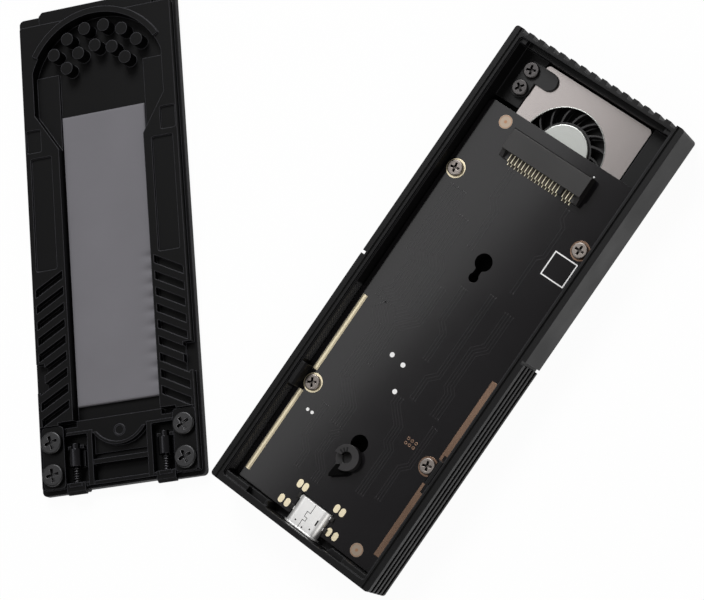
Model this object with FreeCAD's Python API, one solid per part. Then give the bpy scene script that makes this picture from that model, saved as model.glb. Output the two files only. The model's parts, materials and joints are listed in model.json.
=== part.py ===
import FreeCAD, Part
import math
import os

# An enclosure for one stick-type solid state drive, opened.
# The housing lies open side up. Its lid lies beside it, taken off, inner side up.
# Millimetres. Origin: centre of the housing's flat underside. +Z up, +Y along the housing
# towards its fan end, -Y towards the USB end. The lid is drawn about its own centre, with its
# outer face on z = 0, and is then turned and moved to where it lies.

V = FreeCAD.Vector
UP = V(0, 0, 1)
AIR = 1.0                     # how far a cutting tool runs past the surface that it opens
SEAT_GAP = 0.3                # gap between a piece and the wall beside it
RUNNING_GAP = 0.05            # radial clearance of a turning or sliding round fit
SCREW_GAP = 0.03              # radial clearance of a screw in its hole

# Housing
HOUSING_WIDTH = 48.0
USB_ROOM = 18.4               # from the end of the longest drive to the USB end wall
FLOOR = 1.4
SIDE_WALL = 2.8
END_WALL = 2.9
CORNER_RADIUS = 0.8
FOOT_CHAMFER = 0.6
BAY_DEPTH = 4.4               # from the rim down to the board
RIM_BAND = 2.4                # width of the flat band along the lid's sides
END_BAND = 1.7                # the same at the lid's ends
STEP_DEPTH = 0.8              # how deep the lid's edge sits in the rim

# Ribs of the fan end, and the outlet between them
RIB_PITCH = 3.0
RIB_GROOVE = 1.3
RIB_DEPTH = 0.9
OUTLET_WIDTH = 25.0
OUTLET_HEIGHT = 3.0

# Split line and vents of the sides
SPLIT_WIDTH = 0.75
SPLIT_DEPTH = 0.9
VENT_ROWS = 4
VENT_HEIGHT = 1.4
VENT_PITCH = 2.4
VENT_DEPTH = 1.5
WINDOW_START = 6.5            # from the split line to the first window behind the vents
WINDOW_MARGIN = 1.2           # wall left between a window and the clip block or the end
SCREEN_THICKNESS = 0.3
SCREEN_LAP = 0.5

# Clip blocks of the side walls
CLIP_LENGTH = 5.9
CLIP_REACH = 1.4
CLIP_DROP = 0.6               # top of the block below the rim

# Board
BOARD_THICKNESS = 1.2
BOARD_SIDE_GAP = 0.35
FAN_SHOWS = 13.9              # how much of the blower the board leaves uncovered
TOP_SCREW_EDGE = 2.65         # from the board's side to the middle of an upper screw
LOW_SCREW_EDGE = 3.45
TOP_SCREW_AHEAD = 1.5         # from the blower's near side to the upper screws
LOW_SCREW_INSET = 27.3
BOSS_RADIUS = 2.5
BOARD_SCREW_HEAD = 1.9
BOARD_SCREW_SHANK = 1.0
BOARD_SCREW_LENGTH = 4.2

# Drive socket, keyholes and retainer
DRIVE_X = 0.6
SOCKET_WIDTH = 22.4
SOCKET_DEPTH = 7.2
SOCKET_HEIGHT = 3.0
SOCKET_INSET = 3.0
JAW_LENGTH = 1.8
JAW_HEIGHT = 1.2
CARD_SLOT = 1.1
CARD_STOP = 3.5               # from the socket's back to the end of the card
CHEEK = 1.0
KEY_OFFSET = 6.125
KEY_WIDTH = 1.0
CONTACT_PITCH = 0.5
CONTACT_WIDTH = 0.2
CONTACT_THICKNESS = 0.12
CONTACT_FOOT = 0.8
CONTACTS_LONG = 29
CONTACTS_SHORT = 5
SHORT_CARD = 30.0
LONG_CARD = 80.0
KEYHOLE_BIG = 2.15
KEYHOLE_SMALL = 1.2
KEYHOLE_THROW = 4.1
HOOK_RADIUS = 3.1
HOOK_HOLE = 1.4
HOOK_HEIGHT = 2.0
HOOK_FLANGE = 0.5

# USB-C socket
USB_X = 0.7
USB_WIDTH = 8.94
USB_HEIGHT = 3.16
USB_LENGTH = 7.0
USB_WALL = 0.3
USB_RISE = 1.3                # top of the shell above the board
USB_FLANGE = 0.45
EAR_WIDTH = 0.8
EAR_REACH = 0.45              # how far an ear lies on the board
TONGUE_WIDTH = 6.7
TONGUE_THICKNESS = 0.7
MOUTH_WIDTH = 11.4
MOUTH_HEIGHT = 5.0
MOUTH_WALL = 1.4

# Blower
FAN_X = 0.7
FAN_SIZE = 30.0
FAN_HEIGHT = 4.2
FAN_WALL = 0.8
FAN_FLOOR = 0.5
FAN_COVER = 0.4
FAN_BOARD_GAP = 0.4
HUB_OFFSET_X = -0.6
HUB_OFFSET_Y = 0.0
INLET_RADIUS = 10.2
HUB_RADIUS = 6.4
HUB_WALL = 0.4
BLADE_RING = 0.5
BLADE_TIP = 11.9
BLADE_THICKNESS = 0.5
BLADE_COUNT = 17
BLADE_SWEEP = 24.0
SCROLL_RADIUS = 13.2
ROTOR_GAP = 0.35
SHAFT_RADIUS = 0.5
BEARING_RADIUS = 1.5
POST_WALL = 0.45
MAGNET_THICKNESS = 0.8
POLE_COUNT = 6
POLE_WIDTH = 0.9
POLE_THICKNESS = 1.1
COIL_THICKNESS = 0.45
DRIVER_BOARD = 0.3

# Clamp over the blower
CLAMP_THICKNESS = 0.7
CLAMP_SCREW_ASIDE = 2.3       # from the blower's left side to the clamp's screws
CLAMP_SCREW_PITCH = 4.7
CLAMP_SCREW_INSET = 3.8       # from the inner face of the fan end wall to the first screw
CLAMP_RADIUS = 2.2
CLAMP_REACH = 4.8             # how far the tab reaches over the blower's plate
SHELF = 1.2

# Parts under the board
CHIP_SIZE = 8.0
CHIP_HEIGHT = 1.0
CHIP_AHEAD = 19.8             # from the lower screws to the middle of the chip
COIL_SIZE = 4.0
COIL_HEIGHT = 1.8
COIL_PLACE = (-9.0, -12.0)    # from the middle of the chip to the middle of the coil
SMALL_CHIP = (3.0, 4.0)
SMALL_CHIP_PLACES = ((8.5, -12.0), (-10.5, 10.0))

# Lid
LID_X = -84.7
LID_Y = -33.5
LID_TURN = 41.7
LID_GAP = 0.3
FLANGE_HEIGHT = 2.4
FLANGE_WIDTH = 0.9
LID_CORNER = 1.2
LID_CHAMFER = 0.8
PLATEAU = 2.0                 # inner plateau above the flange
PLATEAU_INSET = 2.7           # flange left free at the fan end
CHANNEL_FLOOR = 1.2
CHANNEL_WIDTH = 22.8
CHANNEL_END = 17.1            # from the lid's latch end to the end of the channel
NOSE_WIDTH = 28.9
NOSE_REACH = 0.7
NOSE_THICKNESS = 1.2
ARC_SIDE = 1.4                # from the lid's side to the outer side of the arc wall
ARC_INSET = 1.1               # the same from the lid's end
ARC_BAND = 1.5
ARC_RISE = 0.6                # arc wall above the plateau
ARC_SWEEP = 59.0
BASIN_FLOOR = 2.0
BASIN_WALL = 3.0              # rail left beside the basin
BASIN_LENGTH = 5.0            # straight sides of the basin below the arc's centre
BASIN_TAPER = 9.5
BASIN_STEP = 5.2              # from the arc's centre up to the step down under the posts
POST_RADIUS = 1.6
POST_RISE = 0.4
POSTS_AHEAD = 1.0             # centre of the rows of posts beyond the arc's centre
OUTER_POSTS = 5.8             # from the arc wall's outer side to the outer row of posts
OUTER_POST_STEP = 21.0
INNER_POSTS = 10.8
INNER_POST_STEP = 30.0
PAD_SIDE_GAP = 0.3
PAD_SHORT = 7.1               # how much shorter the pad is than the longest drive
PAD_THICKNESS = 1.0
PAD_INSET = 3.5               # from the channel's latch end to the pad
PANEL_DEPTH = 0.6
FIN_COUNT = 9
FIN_PITCH = 4.01
FIN_SLOT = 2.0
FIN_DROP = 3.9
FIN_DEPTH = 1.7
FIN_FIELD = 37.3              # from the channel's latch end to the first slot

# Latch
TRAVEL = 1.3
BAY_SIDE = 5.0                # rail left beside the latch bay
BAY_WALL = 1.05
SLIDER_LIFT = 0.15            # play of the slider over the bay's floor and beside the plates
SLIDER_THICKNESS = 1.7
SLIDER_BAR = 1.9
SLIDER_WEB = 0.4              # thin web that hides the grip's window
RAIL_ASIDE = 3.9              # from a guide's axis to the rail beside it
RAIL_WIDTH = 1.3
BUMP_RADIUS = 8.2
BUMP_REACH = 3.7
MIDDLE_BAR = 1.2
MIDDLE_BAR_AT = 7.1           # from the slider's top bar to the middle of its middle bar
LOW_BAR = 0.9
CATCH_WIDTH = 4.85
CATCH_THICKNESS = 1.35
CATCH_REACH = 0.6
GRIP_WIDTH = 12.0
GRIP_LENGTH = 4.4
GUIDE_SIDE = 3.7              # from the bay's side to a guide's axis
GUIDE_RADIUS = 1.75
GUIDE_LENGTH = 4.2
GUIDE_NECK = 1.1
GUIDE_PIN = 0.45
SPRING_RADIUS = 0.85
SPRING_WIRE = 0.14
SPRING_TURNS = 5
PLATE_THICKNESS = 0.8
PLATE_LAP = 1.1               # how far a side plate reaches over the bay
LID_SCREW_SIDE = 3.15         # from the plateau's side to the middle of a screw
LID_SCREW_PITCH = 7.9
LID_SCREW_INSET = 4.5
LID_SCREW_HEAD = 2.75
LID_SCREW_SHANK = 1.2

# Levels and lines that follow from the sizes
board_bottom = FLOOR + FAN_HEIGHT + FAN_BOARD_GAP
board_top = board_bottom + BOARD_THICKNESS
rim = board_top + BAY_DEPTH
ledge = rim - STEP_DEPTH
half_width = HOUSING_WIDTH / 2
half_length = END_WALL + (FAN_SHOWS + SOCKET_INSET + CARD_STOP + LONG_CARD + USB_ROOM) / 2
cavity_x = half_width - SIDE_WALL
cavity_y = half_length - END_WALL
step_x = half_width - RIM_BAND
step_y = half_length - END_BAND
board_x = cavity_x - BOARD_SIDE_GAP
board_low = -cavity_y + SEAT_GAP
board_high = cavity_y - FAN_SHOWS
fan_high = cavity_y - SEAT_GAP - 0.2
fan_low = fan_high - FAN_SIZE
fan_y = (fan_high + fan_low) / 2
top_screw_x = board_x - TOP_SCREW_EDGE
top_screw_y = fan_low - TOP_SCREW_AHEAD
low_screw_x = board_x - LOW_SCREW_EDGE
low_screw_y = board_low + LOW_SCREW_INSET
board_screws_at = [(top_screw_x, top_screw_y), (-top_screw_x, top_screw_y),
                   (low_screw_x, low_screw_y), (-low_screw_x, low_screw_y)]
chip_y = low_screw_y + CHIP_AHEAD
socket_back = board_high - SOCKET_INSET
socket_front = socket_back - SOCKET_DEPTH
card_end = socket_back - CARD_STOP
keyholes_at = [card_end - SHORT_CARD, card_end - LONG_CARD]
usb_front = -half_length + MOUTH_WALL + SEAT_GAP / 2
usb_centre_z = board_top + USB_RISE - USB_HEIGHT / 2
hub_x = FAN_X + HUB_OFFSET_X
hub_y = fan_y + HUB_OFFSET_Y
fan_top = FLOOR + FAN_HEIGHT
fan_floor_top = FLOOR + FAN_FLOOR
cover_bottom = fan_top - FAN_COVER
clamp_x = FAN_X - FAN_SIZE / 2 - CLAMP_SCREW_ASIDE
clamp_y = cavity_y - CLAMP_SCREW_INSET
split_y = -SPLIT_WIDTH
lid_half = step_x - LID_GAP
lid_end = step_y - LID_GAP
plateau_x = lid_half - FLANGE_WIDTH
plateau_z = FLANGE_HEIGHT + PLATEAU
plateau_high = lid_end - PLATEAU_INSET
plateau_low = -cavity_y + LID_GAP
channel_low = -lid_end + CHANNEL_END
arc_radius = lid_half - ARC_SIDE
arc_y = lid_end - ARC_INSET - arc_radius
basin_half = plateau_x - BASIN_WALL
fin_start = channel_low + FIN_FIELD
pad_low = channel_low + PAD_INSET
bay_half = plateau_x - BAY_SIDE
plate_edge = bay_half - PLATE_LAP
guide_x = bay_half - GUIDE_SIDE
rail_x = guide_x - RAIL_ASIDE
catch_outer = plate_edge - SLIDER_LIFT
catch_inner = catch_outer - CATCH_WIDTH
lid_screw_x = plateau_x - LID_SCREW_SIDE


# Plain helpers

def block(x0, x1, y0, y1, z0, z1):
    return Part.makeBox(x1 - x0, y1 - y0, z1 - z0, V(x0, y0, z0))


def disc(x, y, z0, z1, radius):
    return Part.makeCylinder(radius, z1 - z0, V(x, y, z0))


def rod(x, z, y0, y1, radius):
    return Part.makeCylinder(radius, y1 - y0, V(x, y0, z), V(0, 1, 0))


def prism(points, z0, z1):
    corners = [V(x, y, z0) for x, y in points]
    face = Part.Face(Part.makePolygon(corners + corners[:1]))
    return face.extrude(V(0, 0, z1 - z0))


def upright_edges(solid):
    return [e for e in solid.Edges
            if len(e.Vertexes) == 2 and abs(e.tangentAt(e.FirstParameter).z) > 0.999]


def rounded_block(x0, x1, y0, y1, z0, z1, radius):
    solid = block(x0, x1, y0, y1, z0, z1)
    return solid.makeFillet(radius, upright_edges(solid))


def stadium(x, z, width, height, y0, y1):
    """A flat-oval bar along Y, as wide and high as stated, centred on x, z."""
    radius = height / 2
    reach = width / 2 - radius
    middle = block(x - reach, x + reach, y0, y1, z - radius, z + radius)
    ends = [rod(x + side * reach, z, y0, y1, radius) for side in (-1, 1)]
    return middle.fuse(ends).removeSplitter()


def mirrored(solid):
    return solid.mirror(V(0, 0, 0), V(1, 0, 0))


def both_sides(solid):
    return [solid, mirrored(solid)]


def turned(solid, angle, x=0.0, y=0.0):
    copy = solid.copy()
    copy.rotate(V(x, y, 0), UP, angle)
    return copy


def on_floor(solid):
    """Takes a solid of the lid from its own frame to where the lid lies."""
    copy = turned(solid, LID_TURN)
    copy.translate(V(LID_X, LID_Y, 0))
    return copy


def save(name, *solids):
    shape = solids[0] if len(solids) == 1 else Part.makeCompound(list(solids))
    shape.exportStep("parts/" + name + ".step")


def pan_screw(x, y, seat, head_radius, shank_radius, length, turn):
    """A pan head screw with a cross recess, its head's underside at the height of the seat."""
    head_height = head_radius * 0.44
    recess_depth = head_height * 0.75
    slot_half = head_radius * 0.6
    slot_width = head_radius * 0.14
    head = disc(x, y, seat, seat + head_height, head_radius)
    top = [e for e in head.Edges if len(e.Vertexes) == 1 and e.Vertexes[0].Z > seat + head_height / 2]
    head = head.makeFillet(head_height * 0.32, top)
    bars = [block(x - slot_half, x + slot_half, y - slot_width, y + slot_width,
                  seat + head_height - recess_depth, seat + head_height + AIR),
            block(x - slot_width, x + slot_width, y - slot_half, y + slot_half,
                  seat + head_height - recess_depth, seat + head_height + AIR)]
    head = head.cut([turned(bar, turn, x, y) for bar in bars])
    return head.fuse(disc(x, y, seat - length, seat, shank_radius)).removeSplitter()


# Housing

def housing_body():
    """The tray: outer block, cavity and the step that takes the lid's edge."""
    body = rounded_block(-half_width, half_width, -half_length, half_length, 0, rim, CORNER_RADIUS)
    foot = [e for e in body.Edges if all(v.Z < FOOT_CHAMFER / 2 for v in e.Vertexes)]
    body = body.makeChamfer(FOOT_CHAMFER, foot)
    cavity = block(-cavity_x, cavity_x, -cavity_y, cavity_y, FLOOR, rim + AIR)
    step = rounded_block(-step_x, step_x, -step_y, step_y, ledge, rim + AIR, CORNER_RADIUS)
    return body.cut([cavity, step])


def rib_grooves():
    """Upright grooves of the fan end. The ones in front of the blower have an outlet slot."""
    count = int((HOUSING_WIDTH - 2 * RIB_PITCH) / (2 * RIB_PITCH))
    tools = []
    for k in range(-count, count + 1):
        x = k * RIB_PITCH
        half = RIB_GROOVE / 2
        flare = half + 0.2 * (RIB_DEPTH + AIR)
        face = half_length
        tools.append(prism([(x - half, face - RIB_DEPTH), (x + half, face - RIB_DEPTH),
                            (x + flare, face + AIR), (x - flare, face + AIR)], -AIR, rim + AIR))
        if abs(x - FAN_X) < OUTLET_WIDTH / 2:
            low = fan_floor_top + 0.1
            tools.append(block(x - half, x + half, cavity_y - AIR, face, low, low + OUTLET_HEIGHT))
    return tools


def windows():
    """The two windows behind the vents of one side, as (low y, high y)."""
    clip_half = CLIP_LENGTH / 2
    return [(low_screw_y + clip_half + WINDOW_MARGIN, split_y - WINDOW_START),
            (-cavity_y + WINDOW_MARGIN, low_screw_y - clip_half - WINDOW_MARGIN)]


def window_heights():
    low = FLOOR + WINDOW_MARGIN / 2
    return low, low + (VENT_ROWS - 1) * VENT_PITCH + VENT_HEIGHT - 0.4


def side_vents():
    """Split line, long outer slots, inner windows and the seats of the screens, right side."""
    low_z, high_z = window_heights()
    tools = [block(half_width - SPLIT_DEPTH, half_width + AIR, split_y, 0, -AIR, rim + AIR)]
    for row in range(VENT_ROWS):
        z = FLOOR + 0.1 + row * VENT_PITCH
        tools.append(block(half_width - VENT_DEPTH, half_width + AIR,
                           -half_length - AIR, split_y, z, z + VENT_HEIGHT))
    for y0, y1 in windows():
        tools.append(block(cavity_x - AIR, half_width - VENT_DEPTH + 0.1, y0, y1, low_z, high_z))
        tools.append(block(cavity_x - AIR, cavity_x + SCREEN_THICKNESS + 0.1,
                           y0 - SCREEN_LAP, y1 + SCREEN_LAP,
                           low_z - SCREEN_LAP / 2, high_z + SCREEN_LAP / 2))
    return tools


def lid_catches():
    """The groove for the lid's nose, and the pockets for the two tongues of its latch."""
    low = ledge - NOSE_THICKNESS - 2 * LID_GAP
    nose = block(-cavity_x + 1.5, cavity_x - 1.5, cavity_y - AIR,
                 lid_end + NOSE_REACH + LID_GAP / 2, low, ledge)
    depth = lid_end + CATCH_REACH + LID_GAP
    pocket = block(catch_inner - LID_GAP, catch_outer + LID_GAP, -depth, -cavity_y + AIR, low, ledge)
    return [nose] + both_sides(pocket)


def usb_cuts():
    """The relief round the USB-C socket, open at the top, and the mouth for the plug."""
    inner = -cavity_y + AIR
    outer = -half_length + MOUTH_WALL
    low = usb_centre_z - USB_HEIGHT / 2 - SEAT_GAP
    half = USB_WIDTH / 2
    relief = prism([(USB_X - half - 5.6, inner), (USB_X - half - 4.0, outer),
                    (USB_X + half + 4.0, outer), (USB_X + half + 5.6, inner)], low, rim + AIR)
    mouth = stadium(USB_X, usb_centre_z, MOUTH_WIDTH, MOUTH_HEIGHT, -half_length - AIR, outer + AIR)
    return [relief, mouth]


def board_bosses():
    """Four posts under the board, each tied to its side wall, and two shelves at the USB end."""
    pieces = []
    for x, y in board_screws_at:
        side = math.copysign(1, x)
        pieces.append(disc(x, y, FLOOR / 2, board_bottom, BOSS_RADIUS))
        web = sorted([x, side * (cavity_x + SIDE_WALL / 4)])
        pieces.append(block(web[0], web[1], y - 1.2, y + 1.2, FLOOR / 2, board_bottom))
    half = USB_WIDTH / 2 + 6.5
    for x0, x1 in ((-cavity_x, USB_X - half), (USB_X + half, cavity_x)):
        pieces.append(block(x0, x1, -cavity_y - 0.5, board_low + 1.0, FLOOR / 2, board_bottom))
    return pieces


def fan_surround():
    """Shelves beside the blower, level with it, on ribs and two screw posts."""
    gap = SEAT_GAP
    right = FAN_X + FAN_SIZE / 2 + gap
    left = FAN_X - FAN_SIZE / 2 - gap
    wall = SIDE_WALL / 4
    shelf_low = clamp_y - CLAMP_SCREW_PITCH - 4.2
    pieces = [
        block(right, cavity_x + wall, fan_low, cavity_y + wall, fan_top - SHELF, fan_top),
        block(right, right + SHELF, fan_low, cavity_y + wall, FLOOR / 2, fan_top),
        block(-cavity_x - wall, left, shelf_low, cavity_y + wall, fan_top - SHELF, fan_top),
        block(left - SHELF, left, shelf_low, cavity_y + wall, FLOOR / 2, fan_top),
    ]
    for y in (clamp_y, clamp_y - CLAMP_SCREW_PITCH):
        pieces.append(disc(clamp_x, y, FLOOR / 2, fan_top, CLAMP_RADIUS - 0.2))
    return pieces


def fan_room():
    """Space of the blower, which the posts beside it stay clear of."""
    half = FAN_SIZE / 2 + SEAT_GAP
    return block(FAN_X - half, FAN_X + half, fan_low - SEAT_GAP, fan_high + SEAT_GAP, FLOOR, board_bottom)


def clip_block():
    """Block on the right wall that the lid's notch drops over, with a sloped lead-in."""
    top = rim - CLIP_DROP
    low = board_top + SEAT_GAP / 2
    inner = cavity_x - CLIP_REACH
    y0 = low_screw_y - CLIP_LENGTH / 2
    outline = [V(inner, y0, low), V(cavity_x + 0.5, y0, low), V(cavity_x + 0.5, y0, ledge),
               V(cavity_x, y0, ledge), V(cavity_x, y0, top), V(inner + 0.5, y0, top),
               V(inner, y0, top - 0.6)]
    face = Part.Face(Part.makePolygon(outline + outline[:1]))
    return face.extrude(V(0, CLIP_LENGTH, 0))


def housing_shell():
    body = housing_body()
    tools = rib_grooves() + lid_catches()
    for tool in side_vents():
        tools += both_sides(tool)
    body = body.cut(tools)
    body = body.fuse(board_bosses() + fan_surround() + both_sides(clip_block()))
    body = body.cut(usb_cuts() + [fan_room()])
    holes = [disc(x, y, board_bottom - BOARD_SCREW_LENGTH, board_bottom + AIR,
                  BOARD_SCREW_SHANK + SCREW_GAP) for x, y in board_screws_at]
    holes += [disc(clamp_x, y, fan_top - BOARD_SCREW_LENGTH + CLAMP_THICKNESS / 2, fan_top + AIR,
                   BOARD_SCREW_SHANK + SCREW_GAP) for y in (clamp_y, clamp_y - CLAMP_SCREW_PITCH)]
    return body.cut(holes).removeSplitter()


def dust_screen(y0, y1):
    """One fine screen in its seat behind the vents of the right side."""
    low_z, high_z = window_heights()
    inset = 0.05
    return block(cavity_x + inset, cavity_x + inset + SCREEN_THICKNESS,
                 y0 - SCREEN_LAP + inset, y1 + SCREEN_LAP - inset,
                 low_z - SCREEN_LAP / 2 + inset, high_z + SCREEN_LAP / 2 - inset)


# Board and what is on it

def keyhole(y):
    """A round hole that a foot passes, with a throat to the small end where the stem stays."""
    big = disc(DRIVE_X, y + KEYHOLE_THROW, board_bottom - AIR, board_top + AIR, KEYHOLE_BIG)
    small = disc(DRIVE_X, y, board_bottom - AIR, board_top + AIR, KEYHOLE_SMALL)
    throat = block(DRIVE_X - KEYHOLE_SMALL * 0.7, DRIVE_X + KEYHOLE_SMALL * 0.7,
                   y, y + KEYHOLE_THROW, board_bottom - AIR, board_top + AIR)
    return [big, small, throat]


def main_board():
    board = block(-board_x, board_x, board_low, board_high, board_bottom, board_top)
    board = board.makeChamfer(0.8, upright_edges(board))
    tools = [disc(x, y, board_bottom - AIR, board_top + AIR, BOARD_SCREW_SHANK + 0.15)
             for x, y in board_screws_at]
    for y in keyholes_at:
        tools += keyhole(y)
    half = USB_WIDTH / 2 + SEAT_GAP
    tools.append(block(USB_X - half, USB_X + half, board_low - AIR, usb_front + USB_LENGTH + SEAT_GAP,
                       board_bottom - AIR, board_top + AIR))
    return board.cut(tools)


def board_screws():
    return [pan_screw(x, y, board_top, BOARD_SCREW_HEAD, BOARD_SCREW_SHANK,
                      BOARD_SCREW_LENGTH, 10 * k) for k, (x, y) in enumerate(board_screws_at)]


def socket_outline(x0, x1, points):
    corners = [V(x0, y, z) for y, z in points]
    face = Part.Face(Part.makePolygon(corners + corners[:1]))
    return face.extrude(V(x1 - x0, 0, 0))


def ssd_socket_body():
    """Moulded block: upper jaw, longer lower jaw, card slot between them, cheeks and key."""
    half = SOCKET_WIDTH / 2
    top = board_top + SOCKET_HEIGHT
    jaw = board_top + JAW_HEIGHT
    upper_front = socket_front + JAW_LENGTH
    profile = [(socket_front, board_top), (socket_back, board_top), (socket_back, top - 0.3),
               (socket_back - 0.3, top), (upper_front, top), (upper_front, jaw + CARD_SLOT),
               (card_end, jaw + CARD_SLOT), (card_end, jaw), (socket_front, jaw)]
    body = socket_outline(DRIVE_X - half, DRIVE_X + half, profile)
    filler = [(socket_front, jaw), (card_end, jaw), (card_end, jaw + CARD_SLOT),
              (upper_front, jaw + CARD_SLOT), (socket_front, jaw + CARD_SLOT * 0.5)]
    places = [(DRIVE_X - half, DRIVE_X - half + CHEEK), (DRIVE_X + half - CHEEK, DRIVE_X + half),
              (DRIVE_X + KEY_OFFSET - KEY_WIDTH / 2, DRIVE_X + KEY_OFFSET + KEY_WIDTH / 2)]
    return body.fuse([socket_outline(x0, x1, filler) for x0, x1 in places]).removeSplitter()


def ssd_socket_contacts():
    """The comb: each contact lies on the lower jaw, bends down in front of it and ends in a foot."""
    t = CONTACT_THICKNESS
    jaw = board_top + JAW_HEIGHT
    profile = [(card_end - 0.2, jaw), (card_end - 0.2, jaw + t), (socket_front - t, jaw + t),
               (socket_front - t, board_top + t), (socket_front - CONTACT_FOOT, board_top + t),
               (socket_front - CONTACT_FOOT, board_top), (socket_front, board_top), (socket_front, jaw)]
    key_left = DRIVE_X + KEY_OFFSET - KEY_WIDTH / 2
    key_right = DRIVE_X + KEY_OFFSET + KEY_WIDTH / 2
    places = [key_left - CONTACT_PITCH * (k + 1) for k in range(CONTACTS_LONG)]
    places += [key_right + CONTACT_PITCH * (k + 1) - CONTACT_WIDTH for k in range(CONTACTS_SHORT)]
    return [socket_outline(x, x + CONTACT_WIDTH, profile) for x in places]


def usb_c_shell():
    """Drawn flat-oval shell with a flange at its mouth, a closed back and two ears on each side."""
    back = usb_front + USB_LENGTH
    outer = stadium(USB_X, usb_centre_z, USB_WIDTH, USB_HEIGHT, usb_front, back)
    flange = stadium(USB_X, usb_centre_z, USB_WIDTH + 2 * USB_FLANGE, USB_HEIGHT + 0.5,
                     usb_front, usb_front + USB_WALL)
    inner = stadium(USB_X, usb_centre_z, USB_WIDTH - 2 * USB_WALL, USB_HEIGHT - 2 * USB_WALL,
                    usb_front - AIR, back - USB_WALL)
    ears = []
    reach = USB_WIDTH / 2 + SEAT_GAP + EAR_REACH
    for y in (board_low + 1.2, board_low + 4.2):
        ears.append(block(USB_X - reach, USB_X + reach, y, y + EAR_WIDTH, board_top, board_top + USB_WALL))
    return outer.fuse([flange] + ears).cut(inner).removeSplitter()


def usb_c_tongue():
    """The contact tongue, on the plastic block that closes the back of the shell."""
    back = usb_front + USB_LENGTH - USB_WALL
    plug = stadium(USB_X, usb_centre_z, USB_WIDTH - 2 * USB_WALL - 0.04,
                   USB_HEIGHT - 2 * USB_WALL - 0.04, back - 1.2, back)
    half = TONGUE_THICKNESS / 2
    tongue = block(USB_X - TONGUE_WIDTH / 2, USB_X + TONGUE_WIDTH / 2, usb_front + 0.8, back - 1.0,
                   usb_centre_z - half, usb_centre_z + half)
    return plug.fuse(tongue).removeSplitter()


def ssd_retainer():
    """Turning hook: a stem through the keyhole's small end, a foot under the board and a C above."""
    x, y = DRIVE_X, keyholes_at[1]
    stem = KEYHOLE_SMALL - RUNNING_GAP
    low = board_bottom - RUNNING_GAP
    high = board_top + RUNNING_GAP
    foot = disc(x, y, low - 0.6, low, KEYHOLE_BIG - 0.25)
    flange = disc(x, y, high, high + HOOK_FLANGE, HOOK_RADIUS)
    wall = disc(x, y, high, high + HOOK_HEIGHT, HOOK_RADIUS)
    wall = wall.cut(disc(x, y, high - AIR, high + HOOK_HEIGHT + AIR, HOOK_HOLE))
    mouth = prism([(x, y), (x - 9, y - 1.0), (x - 9, y - 9), (x - 0.4, y - 9)],
                  high + HOOK_FLANGE, high + HOOK_HEIGHT + AIR)
    wall = wall.cut(mouth)
    lever = prism([(x - 0.2, y - 2.0), (x + 2.2, y - 2.1), (x - 1.4, y - 5.8), (x - 1.7, y - 2.4)],
                  high, high + HOOK_HEIGHT * 0.6)
    pin = disc(x, y, low - 0.1, high + 0.1, stem)
    recess = disc(x, y, high + HOOK_FLANGE * 0.4, high + HOOK_HEIGHT + AIR, HOOK_HOLE)
    hook = pin.fuse([foot, flange, wall, lever]).cut(recess)
    return hook.removeSplitter()


def bridge_chip():
    half = CHIP_SIZE / 2
    return block(DRIVE_X - half, DRIVE_X + half, chip_y - half, chip_y + half,
                 board_bottom - CHIP_HEIGHT, board_bottom)


def bridge_pad():
    """Heat pad between the chip and the housing's floor."""
    half = CHIP_SIZE / 2 + 0.5
    return block(DRIVE_X - half, DRIVE_X + half, chip_y - half, chip_y + half,
                 FLOOR, board_bottom - CHIP_HEIGHT)


def power_coil():
    """Square inductor body with rounded corners, under the board between chip and USB socket."""
    x, y = DRIVE_X + COIL_PLACE[0], chip_y + COIL_PLACE[1]
    half = COIL_SIZE / 2
    return rounded_block(x - half, x + half, y - half, y + half,
                         board_bottom - COIL_HEIGHT, board_bottom, COIL_SIZE / 6)


def small_chips():
    """Two small chips under the board, beside the coil."""
    low = board_bottom - 0.8 * CHIP_HEIGHT
    half_x, half_y = SMALL_CHIP[0] / 2, SMALL_CHIP[1] / 2
    centres = [(DRIVE_X + x, chip_y + y) for x, y in SMALL_CHIP_PLACES]
    return [block(x - half_x, x + half_x, y - half_y, y + half_y, low, board_bottom)
            for x, y in centres]


# Blower

def fan_square(z0, z1):
    half = FAN_SIZE / 2
    return rounded_block(FAN_X - half, FAN_X + half, fan_low, fan_high, z0, z1, 1.0)


def fan_base():
    """Square tray with a round scroll that opens towards the housing's outlet, and a bearing post."""
    tray = fan_square(FLOOR, cover_bottom)
    scroll = disc(hub_x, hub_y, fan_floor_top, cover_bottom + AIR, SCROLL_RADIUS)
    outlet = block(hub_x - SCROLL_RADIUS, FAN_X + FAN_SIZE / 2 - FAN_WALL * 2, hub_y,
                   fan_high + AIR, fan_floor_top, cover_bottom + AIR)
    post = disc(hub_x, hub_y, fan_floor_top - FAN_FLOOR / 2, cover_bottom - 1.0,
                BEARING_RADIUS + POST_WALL)
    bore = disc(hub_x, hub_y, fan_floor_top, fan_top, BEARING_RADIUS + 0.01)
    return tray.cut([scroll, outlet]).fuse(post).cut(bore).removeSplitter()


def fan_cover_plate():
    plate = fan_square(cover_bottom, fan_top)
    return plate.cut(disc(hub_x, hub_y, cover_bottom - AIR, fan_top + AIR, INLET_RADIUS))


def rotor_levels():
    """Underside of the rotor, top of the blades and top of the hub cup."""
    low = fan_floor_top + DRIVER_BOARD + ROTOR_GAP
    return low, cover_bottom - ROTOR_GAP, fan_top - 0.1


def fan_hub():
    """Steel cup with a rolled edge at its top."""
    low, _, top = rotor_levels()
    cup = disc(hub_x, hub_y, low, top, HUB_RADIUS)
    rim_edge = [e for e in cup.Edges if len(e.Vertexes) == 1 and e.Vertexes[0].Z > top - 0.1]
    cup = cup.makeFillet(HUB_WALL * 0.8, rim_edge)
    return cup.cut(disc(hub_x, hub_y, low - AIR, top - HUB_WALL, HUB_RADIUS - HUB_WALL))


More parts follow.
